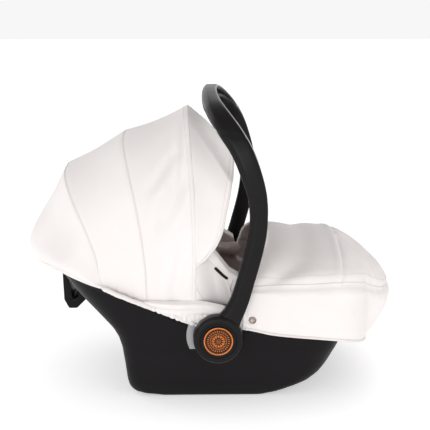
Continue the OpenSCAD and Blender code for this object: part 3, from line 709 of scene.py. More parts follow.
def make_shell():
    outer = shell_grid()
    count = outer.shape[1]
    rim = outer[-1]
    out = plan_normals(rim)
    up = arr([0, 0, 1.0])
    # under the base: a lip in to the screwed-on cover, then up into the docking space
    plate = rounded_rectangle(-112.6, 95.6, 138.6, 8, 8, count)
    under = [np.column_stack([plate, np.full(count, z)]) for z in (42.0, 1.0)]
    # the rolled rim: out 3 mm, over, and down inside
    lip = [rim - up * 7, rim + out * 0.6 - up * 6.4, rim + out * 2.4 - up * 5.4, rim + out * 3.0 - up * 4.2,
           rim + out * 3.0 - up * 1.4, rim + out * 2.0 - up * 0.3, rim + out * 0.6, rim - out * 2.2,
           rim - out * 3.6 - up * 1.0, rim - out * 4.0 - up * 4.0]
    rows = under + list(outer[:-2]) + lip
    for row in outer[::-1][2:]:
        if row[:, 2].min() > 46:
            rows.append(row - plan_normals(row) * 4.0)
    piece = tidy_normals(sheet_piece("shell_moulding", arr(rows), closed=True, ends=True))
    extras = []
    for s in SIDES:
        extras.append(disc("boss", PIVOT, 43, 176, 189.5, s,
                           [(0, 0), (0.93, 0), (0.985, 0.8), (1, 2.5), (1.02, 13)]))
    for x in (-125, 120):
        pocket = mesh_piece("pocket", [(x + a * 20, b * 34, z) for z in (9, 40)
                                       for a, b in ((-1, -1), (1, -1), (1, 1), (-1, 1))],
                            [(0, 1, 5, 4), (1, 2, 6, 5), (2, 3, 7, 6), (3, 0, 4, 7), (4, 5, 6, 7)])
        use(pocket, "BEVEL", width=3 * MM, segments=3, limit_method="ANGLE")
        extras.append(pocket)
    piece = join("shell_moulding", [piece] + extras)
    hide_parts("outer_shell")
    return clothe(piece, "root", "shell_plastic", SHELL)


make_shell()

# ---------------------------------------------------------------- the carry handle
SIDE_LINE = curve([(0, 139), (19, 172), (37, 208), (53, 262), (67, 318), (72.5, 362), (69.5, 408), (56.5, 453),
                   (39, 494), (10.5, 534), (-25, 574)], 400)
HANDLE_ARCH = [(-202, 139), (-202, 300), (-202, 400), (-201.5, 440), (-199, 470), (-192.5, 499), (-180, 523),
               (-160, 541), (-133, 552), (-95, 558.5), (-50, 561.5), (0, 562.5)]
# the section of the bar: share of half its width towards the front, share of half its depth outwards;
# the outer face falls away to a chamfer along the rear edge
SECTION = [(-0.45, 0.97), (-0.33, 1.0), (0, 1.0), (0.33, 1.0), (0.66, 0.985), (0.84, 0.94), (0.95, 0.80), (1.0, 0.60),
           (1.0, 0.3), (1.0, 0.0), (1.0, -0.3), (0.995, -0.58), (0.95, -0.80), (0.82, -0.94), (0.6, -0.985),
           (0.3, -1.0), (0, -1.0), (-0.3, -1.0), (-0.6, -0.985), (-0.82, -0.94), (-0.95, -0.80), (-0.995, -0.58),
           (-1.0, -0.3), (-1.0, 0.0), (-0.98, 0.26), (-0.92, 0.46), (-0.8, 0.63), (-0.56, 0.90)]


def make_handle():
    left = curve(HANDLE_ARCH, 161)
    front = np.vstack([left, (left * [-1, 1])[::-1][1:]])
    x = np.interp(front[:, 1], SIDE_LINE[:, 1], SIDE_LINE[:, 0])
    path = resample(np.stack([x, front[:, 0], front[:, 1]], 1), 361)
    count = len(path)
    tangent = np.gradient(path, axis=0)
    tangent /= np.linalg.norm(tangent, axis=1, keepdims=True)
    # the width runs across the side view line at that height, the depth outwards
    dx = np.gradient(SIDE_LINE[:, 0])
    dz = np.gradient(SIDE_LINE[:, 1])
    tx = np.interp(path[:, 2], SIDE_LINE[:, 1], dx / np.hypot(dx, dz))
    tz = np.interp(path[:, 2], SIDE_LINE[:, 1], dz / np.hypot(dx, dz))
    wide = np.stack([tz, np.zeros(count), -tx], 1)
    wide -= tangent * (wide * tangent).sum(1, keepdims=True)
    wide /= np.linalg.norm(wide, axis=1, keepdims=True)
    out = np.cross(wide, tangent)
    if (out * (path - arr([0, 0, 250]))).sum() < 0:
        out = -out
    from_top = np.abs(np.linspace(-1, 1, count))      # 0 at the middle of the crossbar, 1 at the hubs
    # the bar turns about its own line towards the crossbar, so that the grip faces forwards and the top is level
    turn = np.radians(44 * (1 - smooth(from_top, 0.10, 0.42)))[:, None]
    wide, out = wide * np.cos(turn) - out * np.sin(turn), out * np.cos(turn) + wide * np.sin(turn)
    width = np.interp(
        from_top, [0, 0.10, 0.2, 0.27, 0.33, 0.40, 0.46, 0.52, 0.6, 0.8, 0.87, 0.91, 0.94, 0.97, 1.0],
        [27, 27, 30, 35.5, 39.5, 39.5, 38.5, 35.5, 32.5, 32.5, 34, 37, 45, 62, 78])
    thick = np.interp(from_top, [0, 0.14, 0.22, 0.30, 0.38, 1.0], [30, 30, 29, 25, 21, 20])
    dish = smooth(0.40 - from_top, 0, 0.10) * 4.0      # the front of the crossbar is hollowed for the grip
    grid = np.zeros((count, len(SECTION), 3))
    for j, (a, b) in enumerate(SECTION):
        hollow = dish * (1 - (abs(b) / 0.62) ** 4 if a > 0.99 and abs(b) < 0.6 else 0)
        grid[:, j] = path + wide * (a * width / 2 - hollow)[:, None] + out * (b * thick / 2)[:, None]
    centre = path[:, None]
    # parting grooves round the arms
    low = grid[..., 2] + 0.12 * grid[..., 0]
    groove = 1.0 * bump(low - 521, 1.5) + 0.35 * bump(low - 541, 1.3) + 0.5 * bump(grid[..., 2] - 400, 1.2)
    grid = centre + (grid - centre) * (1 - groove[..., None] * 0.10)
    grid[..., 2] = np.minimum(grid[..., 2], TOP_Z)
    bar = tidy_normals(sheet_piece("bar", grid, closed=True, ends=True))
    use(bar, "SUBSURF", levels=1, render_levels=1)
    parts = [bar]
    for s in SIDES:
        hub = disc("hub", PIVOT, HUB_R, 190.5, HUB_OUT, s, [
            (0.30, 2.2), (0.615, 2.2), (0.62, 0.4), (0.65, 0.0), (0.70, 0.0), (0.715, 0.8), (0.735, 0.8),
            (0.75, 0.0), (0.86, 0.0), (0.93, 0.9), (0.98, 3.0), (1.0, 6.5), (1.0, 21), (0.97, 24.5),
            (0.9, 25.3), (0.4, 25.3)])
        parts.append(hub)
    piece = join("handle_moulding", parts)
    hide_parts("carry_handle")
    clothe(piece, "handle", "handle_plastic", HANDLE)
    # a thin light-grey bead between the outer face and the hollow for the grip: a painted highlight along that edge
    # of the handle
    highlight_part = from_top < 0.47
    highlight_bead = (path + wide * (width / 2)[:, None] * 0.985 + out * (thick / 2)[:, None] * 0.72)[highlight_part]
    highlight_radius = np.interp(from_top[highlight_part], [0, 0.2, 0.3, 0.47], [1.9, 1.7, 1.1, 0.8])
    highlight_bead = tube("grip_edge_painted_highlight", highlight_bead, highlight_radius, sides=10, up=out[highlight_part], taper=10)
    clothe(highlight_bead, "handle", "trim_grey", TRIM_AND_PAINTED_HIGHLIGHT)
    # soft grip: a ribbed band let into the hollow of the crossbar's front face
    inner = np.where(from_top < 0.37)[0]
    lo, hi = inner[0], inner[-1]
    rows = []
    index = np.arange(count)
    for f in np.linspace(lo, hi, 640):
        at = [arr([np.interp(f, index, v[:, c]) for c in range(3)]) for v in (path, wide, out)]
        wd, th, deep = (np.interp(f, index, v) / k for v, k in ((width, 2), (thick, 2), (dish, 1)))
        end = np.clip(min((f - lo) / 9, (hi - f) / 9), 0, 1)
        span = 0.10 + 0.47 * math.sqrt(1 - (1 - end) ** 2)
        rib = 1.1 * max(0, math.sin((f - lo) / (hi - lo) * 2 * math.pi * 64)) ** 0.7 * smooth(end, 0.5, 1)
        row = []
        for b in np.linspace(-1, 1, 17):
            edge = 1 - abs(b) ** 6
            hollow = deep * (1 - (abs(b) * span / 0.62) ** 4)
            lift = -0.9 + 1.3 * edge + rib * (1 - abs(b) ** 4) - 1.2 * (1 - smooth(end, 0, 0.3))
            row.append(at[0] + at[1] * (wd - hollow + lift) + at[2] * (b * span * th))
        rows.append(row)
    grip = sheet_piece("grip_band", arr(rows), outward=(-400, 0, 300))
    wall(grip, 1.6)
    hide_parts("handle_grip")
    clothe(grip, "handle", "grip_rubber", GRIP)
    return piece, path, wide, out


make_handle()


# ---------------------------------------------------------------- badges on the release buttons
def ring(name, centre, r0, r1, y_face, height, side, segments=96):
    """A flat raised ring with soft edges."""
    a = np.linspace(0, 2 * math.pi, segments, endpoint=False)
    rows = []
    e = min(0.3, height)
    for r, y in ((r0, 0), (r0, height - e), (r0 + e, height), (r1 - e, height), (r1, height - e), (r1, 0)):
        rows.append(np.stack([centre[0] + r * np.cos(a), np.full_like(a, side * (y_face + y)),
                              centre[1] + r * np.sin(a)], 1))
    grid = arr(rows + rows[:1])
    piece = sheet_piece(name, grid, closed=True)
    take(piece)
    bpy.ops.object.mode_set(mode="EDIT")
    bpy.ops.mesh.select_all(action="SELECT")
    bpy.ops.mesh.remove_doubles(threshold=1e-6)
    bpy.ops.mesh.normals_make_consistent(inside=False)
    bpy.ops.object.mode_set(mode="OBJECT")
    bpy.ops.object.shade_smooth_by_angle(angle=math.radians(50))
    return piece


def petals(name, centre, count, r0, r1, width, y_face, height, side, turn=0.0, pointed=True):
    """Raised petals or bars spaced round a badge: a plain pattern, no lettering."""
    points, faces = [], []
    for k in range(count):
        a = turn + 2 * math.pi * k / count
        d, e = arr([math.cos(a), math.sin(a)]), arr([-math.sin(a), math.cos(a)])
        m = (r0 + r1) / 2
        flat = [(r0, 0), (m, width / 2), (r1, 0), (m, -width / 2)] if pointed else \
            [(r0, -width / 2), (r0, width / 2), (r1, width / 2), (r1, -width / 2)]
        base = len(points)
        for y, scale in ((0, 1.0), (height, 0.72)):
            for r, w in flat:
                r2 = m + (r - m) * scale
                p = d * r2 + e * w * scale
                points.append((centre[0] + p[0], side * (y_face + y), centre[1] + p[1]))
        faces += [tuple(base + i for i in order) for order in
                  ((4, 5, 6, 7), (0, 1, 5, 4), (1, 2, 6, 5), (2, 3, 7, 6), (3, 0, 4, 7), (3, 2, 1, 0))]
    piece = mesh_piece(name, points, faces)
    for polygon in piece.data.polygons:
        polygon.use_smooth = False
    take(piece)
    bpy.ops.object.mode_set(mode="EDIT")
    bpy.ops.mesh.select_all(action="SELECT")
    bpy.ops.mesh.normals_make_consistent(inside=False)
    bpy.ops.object.mode_set(mode="OBJECT")
    return piece


for s, side_name in ((-1, "left"), (1, "right")):
    face = BUTTON_HI[1] / MM - 0.9
    button = disc("button_" + side_name, PIVOT, BUTTON_R, 205, face, s,
                  [(0, 0), (0.95, 0), (0.985, 0.3), (1, 1.0), (1, 6)])
    clothe(button, "button_" + side_name, "copper_badge", INNER)
    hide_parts("release_button_" + side_name)
    rings = [ring("r", PIVOT, 24.6, 27.0, face - 0.2, 1.0, s), ring("r", PIVOT, 14.6, 15.8, face - 0.2, 0.7, s),
             ring("r", PIVOT, 23.2, 23.7, face - 0.2, 0.5, s), ring("r", PIVOT, 4.0, 4.8, face - 0.2, 0.8, s)]
    dashes = [petals("p", PIVOT, 30, 17.6, 21.4, 2.0, face - 0.2, 0.7, s, pointed=False),
              petals("p", PIVOT, 12, 5.4, 13.8, 4.4, face - 0.2, 0.7, s),
              petals("p", PIVOT, 12, 9.6, 14.2, 2.4, face - 0.2, 0.6, s, turn=math.pi / 12),
              petals("p", PIVOT, 6, 0.2, 3.4, 1.8, face - 0.2, 0.8, s)]
    badge = join("badge_" + side_name, rings + dashes)
    clothe(badge, "button_" + side_name, "copper_badge", COPPER)
    keep(STEEL, "lock_gear_" + side_name, "button_spring_" + side_name, "pivot_pin_" + side_name)

# ---------------------------------------------------------------- canopy
ARCHES = {                                # foot (x, z), top (x, z), half width, exponent, forward bow
    "A": ((-206, 230), (-294, 426), 177, 2.7, 9),
    "B": ((-131, 205), (-181, 490), 178, 2.8, 11),
    "C": ((-45, 164), (-56, 541), 179, 2.75, 9),
}
COLS = 141


def arch(foot, top, half, n, bow, cols=COLS):
    """A canopy bow's line as points, from the left foot over the top to the right foot."""
    flat = superellipse(half, n, cols)
    y, h = flat[:, 0], flat[:, 1]
    foot, top = arr(foot), arr(top)
    d = top - foot
    length = np.linalg.norm(d)
    forward = arr([d[1], -d[0]]) / length
    side = foot + h[:, None] * d + forward * (bow * np.sin(math.pi * h ** 1.0))[:, None]
    lean = 1 + 0.02 * np.sin(math.pi * h)
    return np.stack([side[:, 0], y * lean, side[:, 1]], 1)


def to_rim(points):
    """Draws the foot of the canopy cloth down to the shell's rim."""
    above = points[..., 2] - rim_height(points[..., 0])
    points = points.copy()
    points[..., 2] -= (above - 1.5) * (1 - smooth(above, 8, 60))
    return points


LINE = {k: to_rim(arch(*v)) for k, v in ARCHES.items()}


def cloth_between(low, high, rows, sag, top_sag=0.0, seed=1, wrinkle=0.7):
    """Cloth stretched from one bow to the next, drawn in a little between: its grid and outward directions."""
    s = np.linspace(0, 1, rows)[:, None, None]
    grid = low[None] * (1 - s) + high[None] * s
    out = normals(grid)
    middle = arr([-100, 0, 250])
    if (out * (grid - middle)).sum() < 0:
        out = -out
    h = np.clip((grid[..., 2] - 250) / 260, 0, 1)
    between = np.sin(math.pi * s[..., 0])
    move = -(sag + (top_sag - sag) * smooth(h, 0.45, 1.0)) * between
    move = move + wrinkle * waves(grid * [1, 0.8, 0.6], 95, seed) * between
    grid = grid + out * move[..., None]
    return grid, out


def crease(grid, start, end, width, depth):
    """How deep a soft crease runs at each point of a grid, in the side view on the near and far faces."""
    a, b = arr(start), arr(end)
    d = b - a
    length = np.linalg.norm(d)
    d /= length
    p = grid[..., [0, 2]] - a
    along = p @ d
    off = p @ arr([-d[1], d[0]])
    fade = smooth(along, -0.15 * length, 0.3 * length) * (1 - smooth(along, 0.7 * length, 1.15 * length))
    beside = 0.55 * bump(off - 1.9 * width, width)
    return -depth * fade * (bump(off, width) - beside - 0.45 * bump(off + 1.9 * width, width))


def seam_dip(rows, cell_mm, depth=1.5, width=3.2):
    """The cloth dips to its seam at both ends of a panel. cell_mm is about one row's height."""
    at = np.arange(rows) * cell_mm
    return -depth * (bump(at, width) + bump(at[::-1], width))


def panel(name, low, high, rows, sag, top_sag, seed, creases=()):
    """The canopy cloth between two bows, with its seams at both ends and its creases."""
    grid, out = cloth_between(low, high, rows, sag, top_sag, seed)
    grid = to_rim(grid)
    cell = np.linalg.norm(np.diff(grid[:, COLS // 2], axis=0), axis=1).mean()
    grid = grid + out * seam_dip(rows, cell)[:, None, None]
    for c in creases:
        grid = grid + out * crease(grid, *c)[..., None]
    # gathered a little above the rim
    foot = 1 - smooth(grid[..., 2] - rim_height(grid[..., 0]), 0, 26)
    folds = np.sin(grid[..., 0] * 2 * math.pi / 17) + 0.6 * np.sin(grid[..., 0] * 2 * math.pi / 9.7 + 1.3)
    grid = grid + out * (folds * foot * 0.5)[..., None]
    piece = sheet_piece(name, grid, outward=(-100, 0, 250))
    area = sum(p.area for p in piece.data.polygons)
    wall(piece, CLOTH, offset=0, lining=False)
    return piece, grid, out, area


def hood_cloth():
    """The bag behind the rear bow: from the hem round the head end up to the bow."""
    half = [(-206, -182, 230), (-238, -186, 243), (-268, -184, 256), (-290, -173, 264), (-307, -145, 260),
            (-317, -100, 248), (-322, -50, 238), (-323, 0, 234)]
    hem = curve(half + [(x, -y, z) for x, y, z in half[-2::-1]], COLS)
    rows = 64
    top = LINE["A"]
    s = np.linspace(0, 1, rows)
    swell = np.interp(s, [0, .04, .1, .2, .28, .38, .5, .68, .89, 1], [0, 20, 39, 51, 53, 48, 38, 22, 7.5, 0])
    swell = np.convolve(np.pad(swell, 2, mode="edge"), np.ones(5) / 5, mode="valid")
    swell[0] = 0
    swell[-1] = 0
    t = np.linspace(0, 1, COLS)
    strength = np.sin(math.pi * t) ** 0.75
    n = np.stack([-np.sin(math.pi * t) ** 1.5, -0.42 * np.cos(math.pi * t), 0.06 * np.ones(COLS)], 1)
    n /= np.linalg.norm(n, axis=1, keepdims=True)
    side_share = 0.30 + 0.70 * np.sin(math.pi * t) ** 2.2
    grid = hem[None] * (1 - s[:, None, None]) + top[None] * s[:, None, None]
    grid = grid + n[None] * (swell[:, None] * (strength * side_share)[None])[..., None]
    grid[..., 0] = np.maximum(grid[..., 0], REACH - 1)
    out = normals(grid)
    if (out * (grid - arr([-220, 0, 300]))).sum() < 0:
        out = -out
    cell = 3.4
    move = seam_dip(rows, cell)[:, None] * np.array([0 if k < rows / 2 else 1 for k in range(rows)])[:, None]
    move = move + 1.0 * waves(grid, 90, 5) * np.sin(math.pi * s)[:, None]
    # small gathers just above the elastic hem
    run = np.concatenate([[0], np.cumsum(np.linalg.norm(np.diff(hem, axis=0), axis=1))])
    folds = np.sin(run * 2 * math.pi / 15) + 0.7 * np.sin(run * 2 * math.pi / 8.3 + 0.8)
    move = move + 0.8 * folds[None] * np.exp(-s * 9)[:, None] * smooth(s, 0, 0.03)[:, None]
    grid = grid + out * move[..., None]
    piece = sheet_piece("canopy_hood_cloth", grid, outward=(-220, 0, 300))
    area = sum(p.area for p in piece.data.polygons)
    wall(piece, CLOTH, offset=0)
    return piece, grid, out, hem, area


hood, hood_grid, hood_out, hem_line, hood_area = hood_cloth()
clothe(hood, None, "faux_leather", LEATHER)
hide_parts("canopy_hood")

panel_rear, grid_ab, out_ab, area_ab = panel("canopy_rear_cloth", LINE["A"], LINE["B"], 46, 3.0, 3.0, 11)
clothe(panel_rear, None, "faux_leather", LEATHER)
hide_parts("canopy_panel_rear")

panel_front, grid_bc, out_bc, area_bc = panel(
    "canopy_front_cloth", LINE["B"], LINE["C"], 50, 3.0, 5.5, 23,
    creases=[((-72, 484), (-128, 402), 8, 4.4), ((-58, 440), (-108, 330), 11, 4.6),
             ((-60, 300), (-86, 205), 9, 3.4), ((-62, 520), (-66, 400), 6, 2.4)])
clothe(panel_front, None, "faux_leather", LEATHER)
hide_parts("canopy_panel_front")


def visor_cloth():
    """The peak in front of the front bow: flat sides, a crease up each corner, a crowned top."""
    c = LINE["C"]
    above = np.where(c[:, 2] > 262)[0]
    base = resample(c[above[0]:above[-1] + 1], 400)
    turn = np.argmin(np.abs(base[:200, 1] + 84))
    side_cols, top_cols = 58, 61
    base_side = resample(base[:turn + 1], side_cols)
    base_top = resample(base[turn:400 - turn], top_cols)
    rim_side = curve([(-44, -179, 262), (-39, -178.5, 273), (-25, -178, 284), (-11, -177.5, 300), (-1, -177, 316),
                      (8, -176, 340), (15, -173.5, 376), (21, -169, 405), (24, -164, 425)], side_cols)
    rim_top = curve([(24, -164, 425), (26.5, -150, 432), (29, -110, 438), (31.5, -55, 441.5), (32.5, 0, 442.5),
                     (31.5, 55, 441.5), (29, 110, 438), (26.5, 150, 432), (24, 164, 425)], top_cols)

    def whole(side, top):
        return np.vstack([side, top[1:-1], (side * [1, -1, 1])[::-1]])

    base, edge = whole(base_side, base_top), whole(rim_side, rim_top)
    edge[0], edge[-1] = base[0] + [1, 0, 0], base[-1] + [1, 0, 0]
    rows = 36
    s = np.linspace(0, 1, rows)[:, None]
    grid = base[None] * (1 - s[..., None]) + edge[None] * s[..., None]
    cols = grid.shape[1]
    at = np.arange(cols)
    # the top is crowned between the two ridges, the sides stay flat
    far_ridge = cols - side_cols
    over = smooth(at, side_cols - 6, side_cols + 8) * (1 - smooth(at, far_ridge - 8, far_ridge + 6))
    lift = over[None] * np.interp(s[:, 0], [0, .15, .35, .6, 1], [0, 2, 5, 5, 0])[:, None]
    ridge = (bump(at - side_cols + 1, 2.0) + bump(at - (cols - side_cols), 2.0))[None]
    ridge = ridge * 1.2 * np.sin(math.pi * np.clip(s * 0.85 + 0.1, 0, 1))
    grid = grid + arr([0.72, 0, 0.69]) * (lift + ridge)[..., None]
    out = normals(grid)
    if (out * (grid - arr([-100, 0, 300]))).sum() < 0:
        out = -out
    sag = bump(at - side_cols / 2, 17)[None] + bump(at - (cols - side_cols / 2), 17)[None]
    between = np.sin(math.pi * s)
    move = 0.5 * waves(grid, 80, 31) * between - 1.5 * bump(s * 100, 3.2) - 2.2 * sag * between
    grid = grid + out * move[..., None]
    piece = sheet_piece("canopy_visor_cloth", grid, outward=(-100, 0, 300))
    area = sum(p.area for p in piece.data.polygons)
    wall(piece, 2.2, offset=0)
    return piece, grid, out, area


visor, visor_grid, visor_out, visor_area = visor_cloth()
clothe(visor, "front_bow", "faux_leather", LEATHER)
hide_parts("canopy_visor")

for k, body, cad in (("A", "rear_bow", "canopy_bow_rear"), ("B", "middle_bow", "canopy_bow_middle"),
                     ("C", "front_bow", "canopy_bow_front")):
    line = LINE[k]
    out_k = np.gradient(line, axis=0)
    (foot_x, foot_z), (top_x, top_z) = ARCHES[k][:2]
    out_k = np.cross(out_k, np.broadcast_to(arr([top_z - foot_z, 0, foot_x - top_x]), line.shape))
    out_k /= np.linalg.norm(out_k, axis=1, keepdims=True)
    if (out_k * (line - arr([-100, 0, 250]))).sum() < 0:
        out_k = -out_k
    inner_line = line - out_k * 5.5
    if k == "C":                                   # behind the seam where the sides come down to the rim
        inner_line[:, 0] -= 8 * smooth(330 - inner_line[:, 2], 0, 60)
    halfway = ((FOLD[0] + line[0, 0]) / 2, (FOLD[1] + line[0, 2]) / 2 + 4)
    ends = [[(FOLD[0], s * 167, FOLD[1]), (halfway[0], s * 170, halfway[1])] for s in SIDES]
    path = curve(ends[0] + [tuple(p) for p in inner_line[6:-6:4]] + ends[1][::-1], 220)
    up = resample(out_k, 220)
    bow = tube("bow_" + k, path, 5.6, sides=14, squash=0.42, up=up, taper=3)
    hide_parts(cad)
    clothe(bow, body, "inner_plastic", INNER)

SEAM_BODY = {"A": "rear_bow", "B": "middle_bow", "C": "front_bow"}
SEAM_GRID = {"A": (grid_ab, out_ab, 0, 2), "B": (grid_bc, out_bc, 0, 2), "C": (grid_bc, out_bc, -1, -3)}
for k in "ABC":
    grid, out, row, row2 = SEAM_GRID[k]
    path = grid[row] + out[row] * 1.0
    # the piping's darker hem colour is painted shade along the seam line
    piping = tube("seam_" + k, path + out[row] * -0.1, 1.25, sides=8, squash=0.9, up=out[row])
    clothe(piping, SEAM_BODY[k], "faux_leather", HEM_WITH_PAINTED_SHADE)
    step = grid[row2] - grid[row]
    step /= np.maximum(np.linalg.norm(step, axis=1, keepdims=True), 1e-9)
    away = 4.0 if k != "C" else 9.0
    n_line = np.argmin(np.abs(np.linalg.norm(grid[:, COLS // 2] - grid[row, COLS // 2], axis=1) - away))
    line = grid[n_line] + out[n_line] * 0.85
    threads = stitches("stitches_" + k, line[2:-2], out[n_line][2:-2])
    clothe(threads, None, "faux_leather", THREAD)
    if k == "A":
        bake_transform(threads)
    else:
        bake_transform(threads)

brim = visor_grid[-1]
brim_out = visor_out[-1]
roll = tube("visor_brim", brim[1:-1], 2.6, sides=12, up=brim_out[1:-1], taper=3)
clothe(roll, "front_bow", "faux_leather", HEM_WITH_PAINTED_SHADE)
row = 32
threads = stitches("stitches_brim", visor_grid[row][4:-4] + visor_out[row][4:-4] * 1.15, visor_out[row][4:-4])
clothe(threads, "front_bow", "faux_leather", THREAD)

hem_roll = tube("canopy_hem", hem_line, 3.4, sides=12, up=hood_out[1], taper=4)
clothe(hem_roll, "root", "faux_leather", HEM_WITH_PAINTED_SHADE)
threads = stitches("stitches_hem", hood_grid[6] + hood_out[6] * 0.85, hood_out[6])
clothe(threads, "root", "faux_leather", THREAD)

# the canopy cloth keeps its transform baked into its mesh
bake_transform(hood)
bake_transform(panel_rear)
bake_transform(panel_front)

# ---------------------------------------------------------------- rim hem, gathered skirt and gusset
for s, side_name in ((-1, "left"), (1, "right")):
    x = np.linspace(-214, -40, 120)
    y = s * (RIM_HALF + 2.4 + 0.5 * np.sin(x * 0.9) + 0.4 * np.sin(x * 0.37))
    path = np.stack([x, y, rim_height(x) + 2.2 + 0.5 * np.sin(x * 0.21)], 1)
    band = tube("rim_hem_" + side_name, path, 4.6, sides=12, squash=0.8, up=(0, s, 0), taper=5)
    clothe(band, "root", "faux_leather", HEM_WITH_PAINTED_SHADE)

    # skirt: from below the canopy forward under the hub, gathered by elastic
    nx, nz = 220, 44
    u = np.linspace(0, 1, nx)[None, :]
    v = np.linspace(0, 1, nz)[:, None]
    x = -150 + u * 204
    top = np.interp(x, [-150, -130, -110, -84, -60, -40, -20, 10, 54],
                    [203, 206, 205, 204, 205, 206, 203, 196, 170])
    low = rim_height(x) - 3
    z = low + (top - low) * (1 - v)
    lean = 2.6 + 3.2 * np.sin(math.pi * np.clip(v, 0, 1)) * smooth(top - low, 4, 30)
    gathers = (np.sin(x * 2 * math.pi / 13 + 2.2 * np.sin(z / 11)) + 0.7 * np.sin(x * 2 * math.pi / 7.9 + z / 7))
    sags = np.sin(z * 2 * math.pi / 15 + 0.8 * np.sin(x / 17) + x * 0.02)
    strength = smooth(top - low, 2, 24)
    y = RIM_HALF + lean + strength * (1.2 * gathers * smooth(v, 0.1, 1.0) + 2.0 * sags * np.sin(math.pi * v))
    y = y - 7.0 * smooth(0.16 - v, 0, 0.16) * strength
    grid = np.stack([x + 0 * v, s * np.minimum(y, 190.0 + 0 * v), z + 0 * x], 2)
    skirt = sheet_piece("skirt_" + side_name, grid, outward=(-50, 0, 180))
    wall(skirt, 1.4, offset=0)
    clothe(skirt, "root", "faux_leather", LEATHER)
    if s < 0:
        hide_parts("cover_skirt")

    # cloth between the front bow and the side wing, with the gusset's two seams and the belt guide on it
    u = np.linspace(0, 1, 60)[None, :]
    v = np.linspace(0, 1, 70)[:, None]
    x_low, x_high = -49 + 86 * u, -49 + 62 * u
    x = x_low * (1 - v) + x_high * v
    top = np.interp(x, [-60, -30, -11, 0, 14, 40], [292, 286, 281, 268, 252, 240])
    z = 190 + (top - 190) * v
    y = 179.0 - 20.5 * smooth(u, 0.02, 0.62) - 4.0 * v * smooth(u, 0, 0.5) - 5.0 * smooth(v, 0.85, 1.0)
    puff = 3.4 * np.sin(math.pi * np.clip(u * 1.1, 0, 1)) * np.sin(math.pi * np.clip(v, 0, 1)) ** 0.7
    ripple = 0.35 * np.sin((x + 0.55 * z) * 2 * math.pi / 31) * (1 - v) ** 1.5
    y = y + puff + ripple * smooth(u, 0.03, 0.2)
    grid = np.stack([x, s * y, z], 2)
    side_cloth = sheet_piece("wing_cloth_" + side_name, grid, outward=(-10, 0, 230))
    wall(side_cloth, CLOTH, offset=0)
    clothe(side_cloth, "root", "faux_leather", LEATHER)

    def on_wing(line):
        """A side view line laid on the wing cloth."""
        flat = grid.reshape(-1, 3)
        out = []
        for px, pz in line:
            near = np.argsort((flat[:, 0] - px) ** 2 + (flat[:, 2] - pz) ** 2)[:4]
            out.append((px, flat[near, 1].mean() + s * 0.9, pz))
        return arr(out)

    for k, line in enumerate((curve([(-45, 250), (-40, 228), (-31, 212), (-22, 198)], 26),
                              curve([(28, 238), (23, 222), (25, 206), (30, 194)], 26))):
        fold = tube("gusset_%s_%d" % (side_name, k), on_wing(line), 1.1, sides=8, up=(0, s, 0), taper=3)
        clothe(fold, "root", "faux_leather", HEM_WITH_PAINTED_SHADE)
    edge_line = on_wing(np.stack([grid[-2, 4:-1, 0], grid[-2, 4:-1, 2]], 1)) - arr([0, s * 1.0, 0])
    hem = tube("wing_hem_" + side_name, edge_line, 2.2, sides=10, up=(0, s, 0), taper=3)
    clothe(hem, "root", "faux_leather", HEM_WITH_PAINTED_SHADE)
    slot_line = on_wing(curve([(-6, 262), (2, 254), (10, 246), (19, 239)], 30))
    guide = tube("guide_" + side_name, slot_line, 2.9, sides=14, squash=0.62, up=(0, s, 0), taper=3)
    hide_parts("belt_guide_" + side_name)
    clothe(guide, "root", "inner_plastic", INNER)

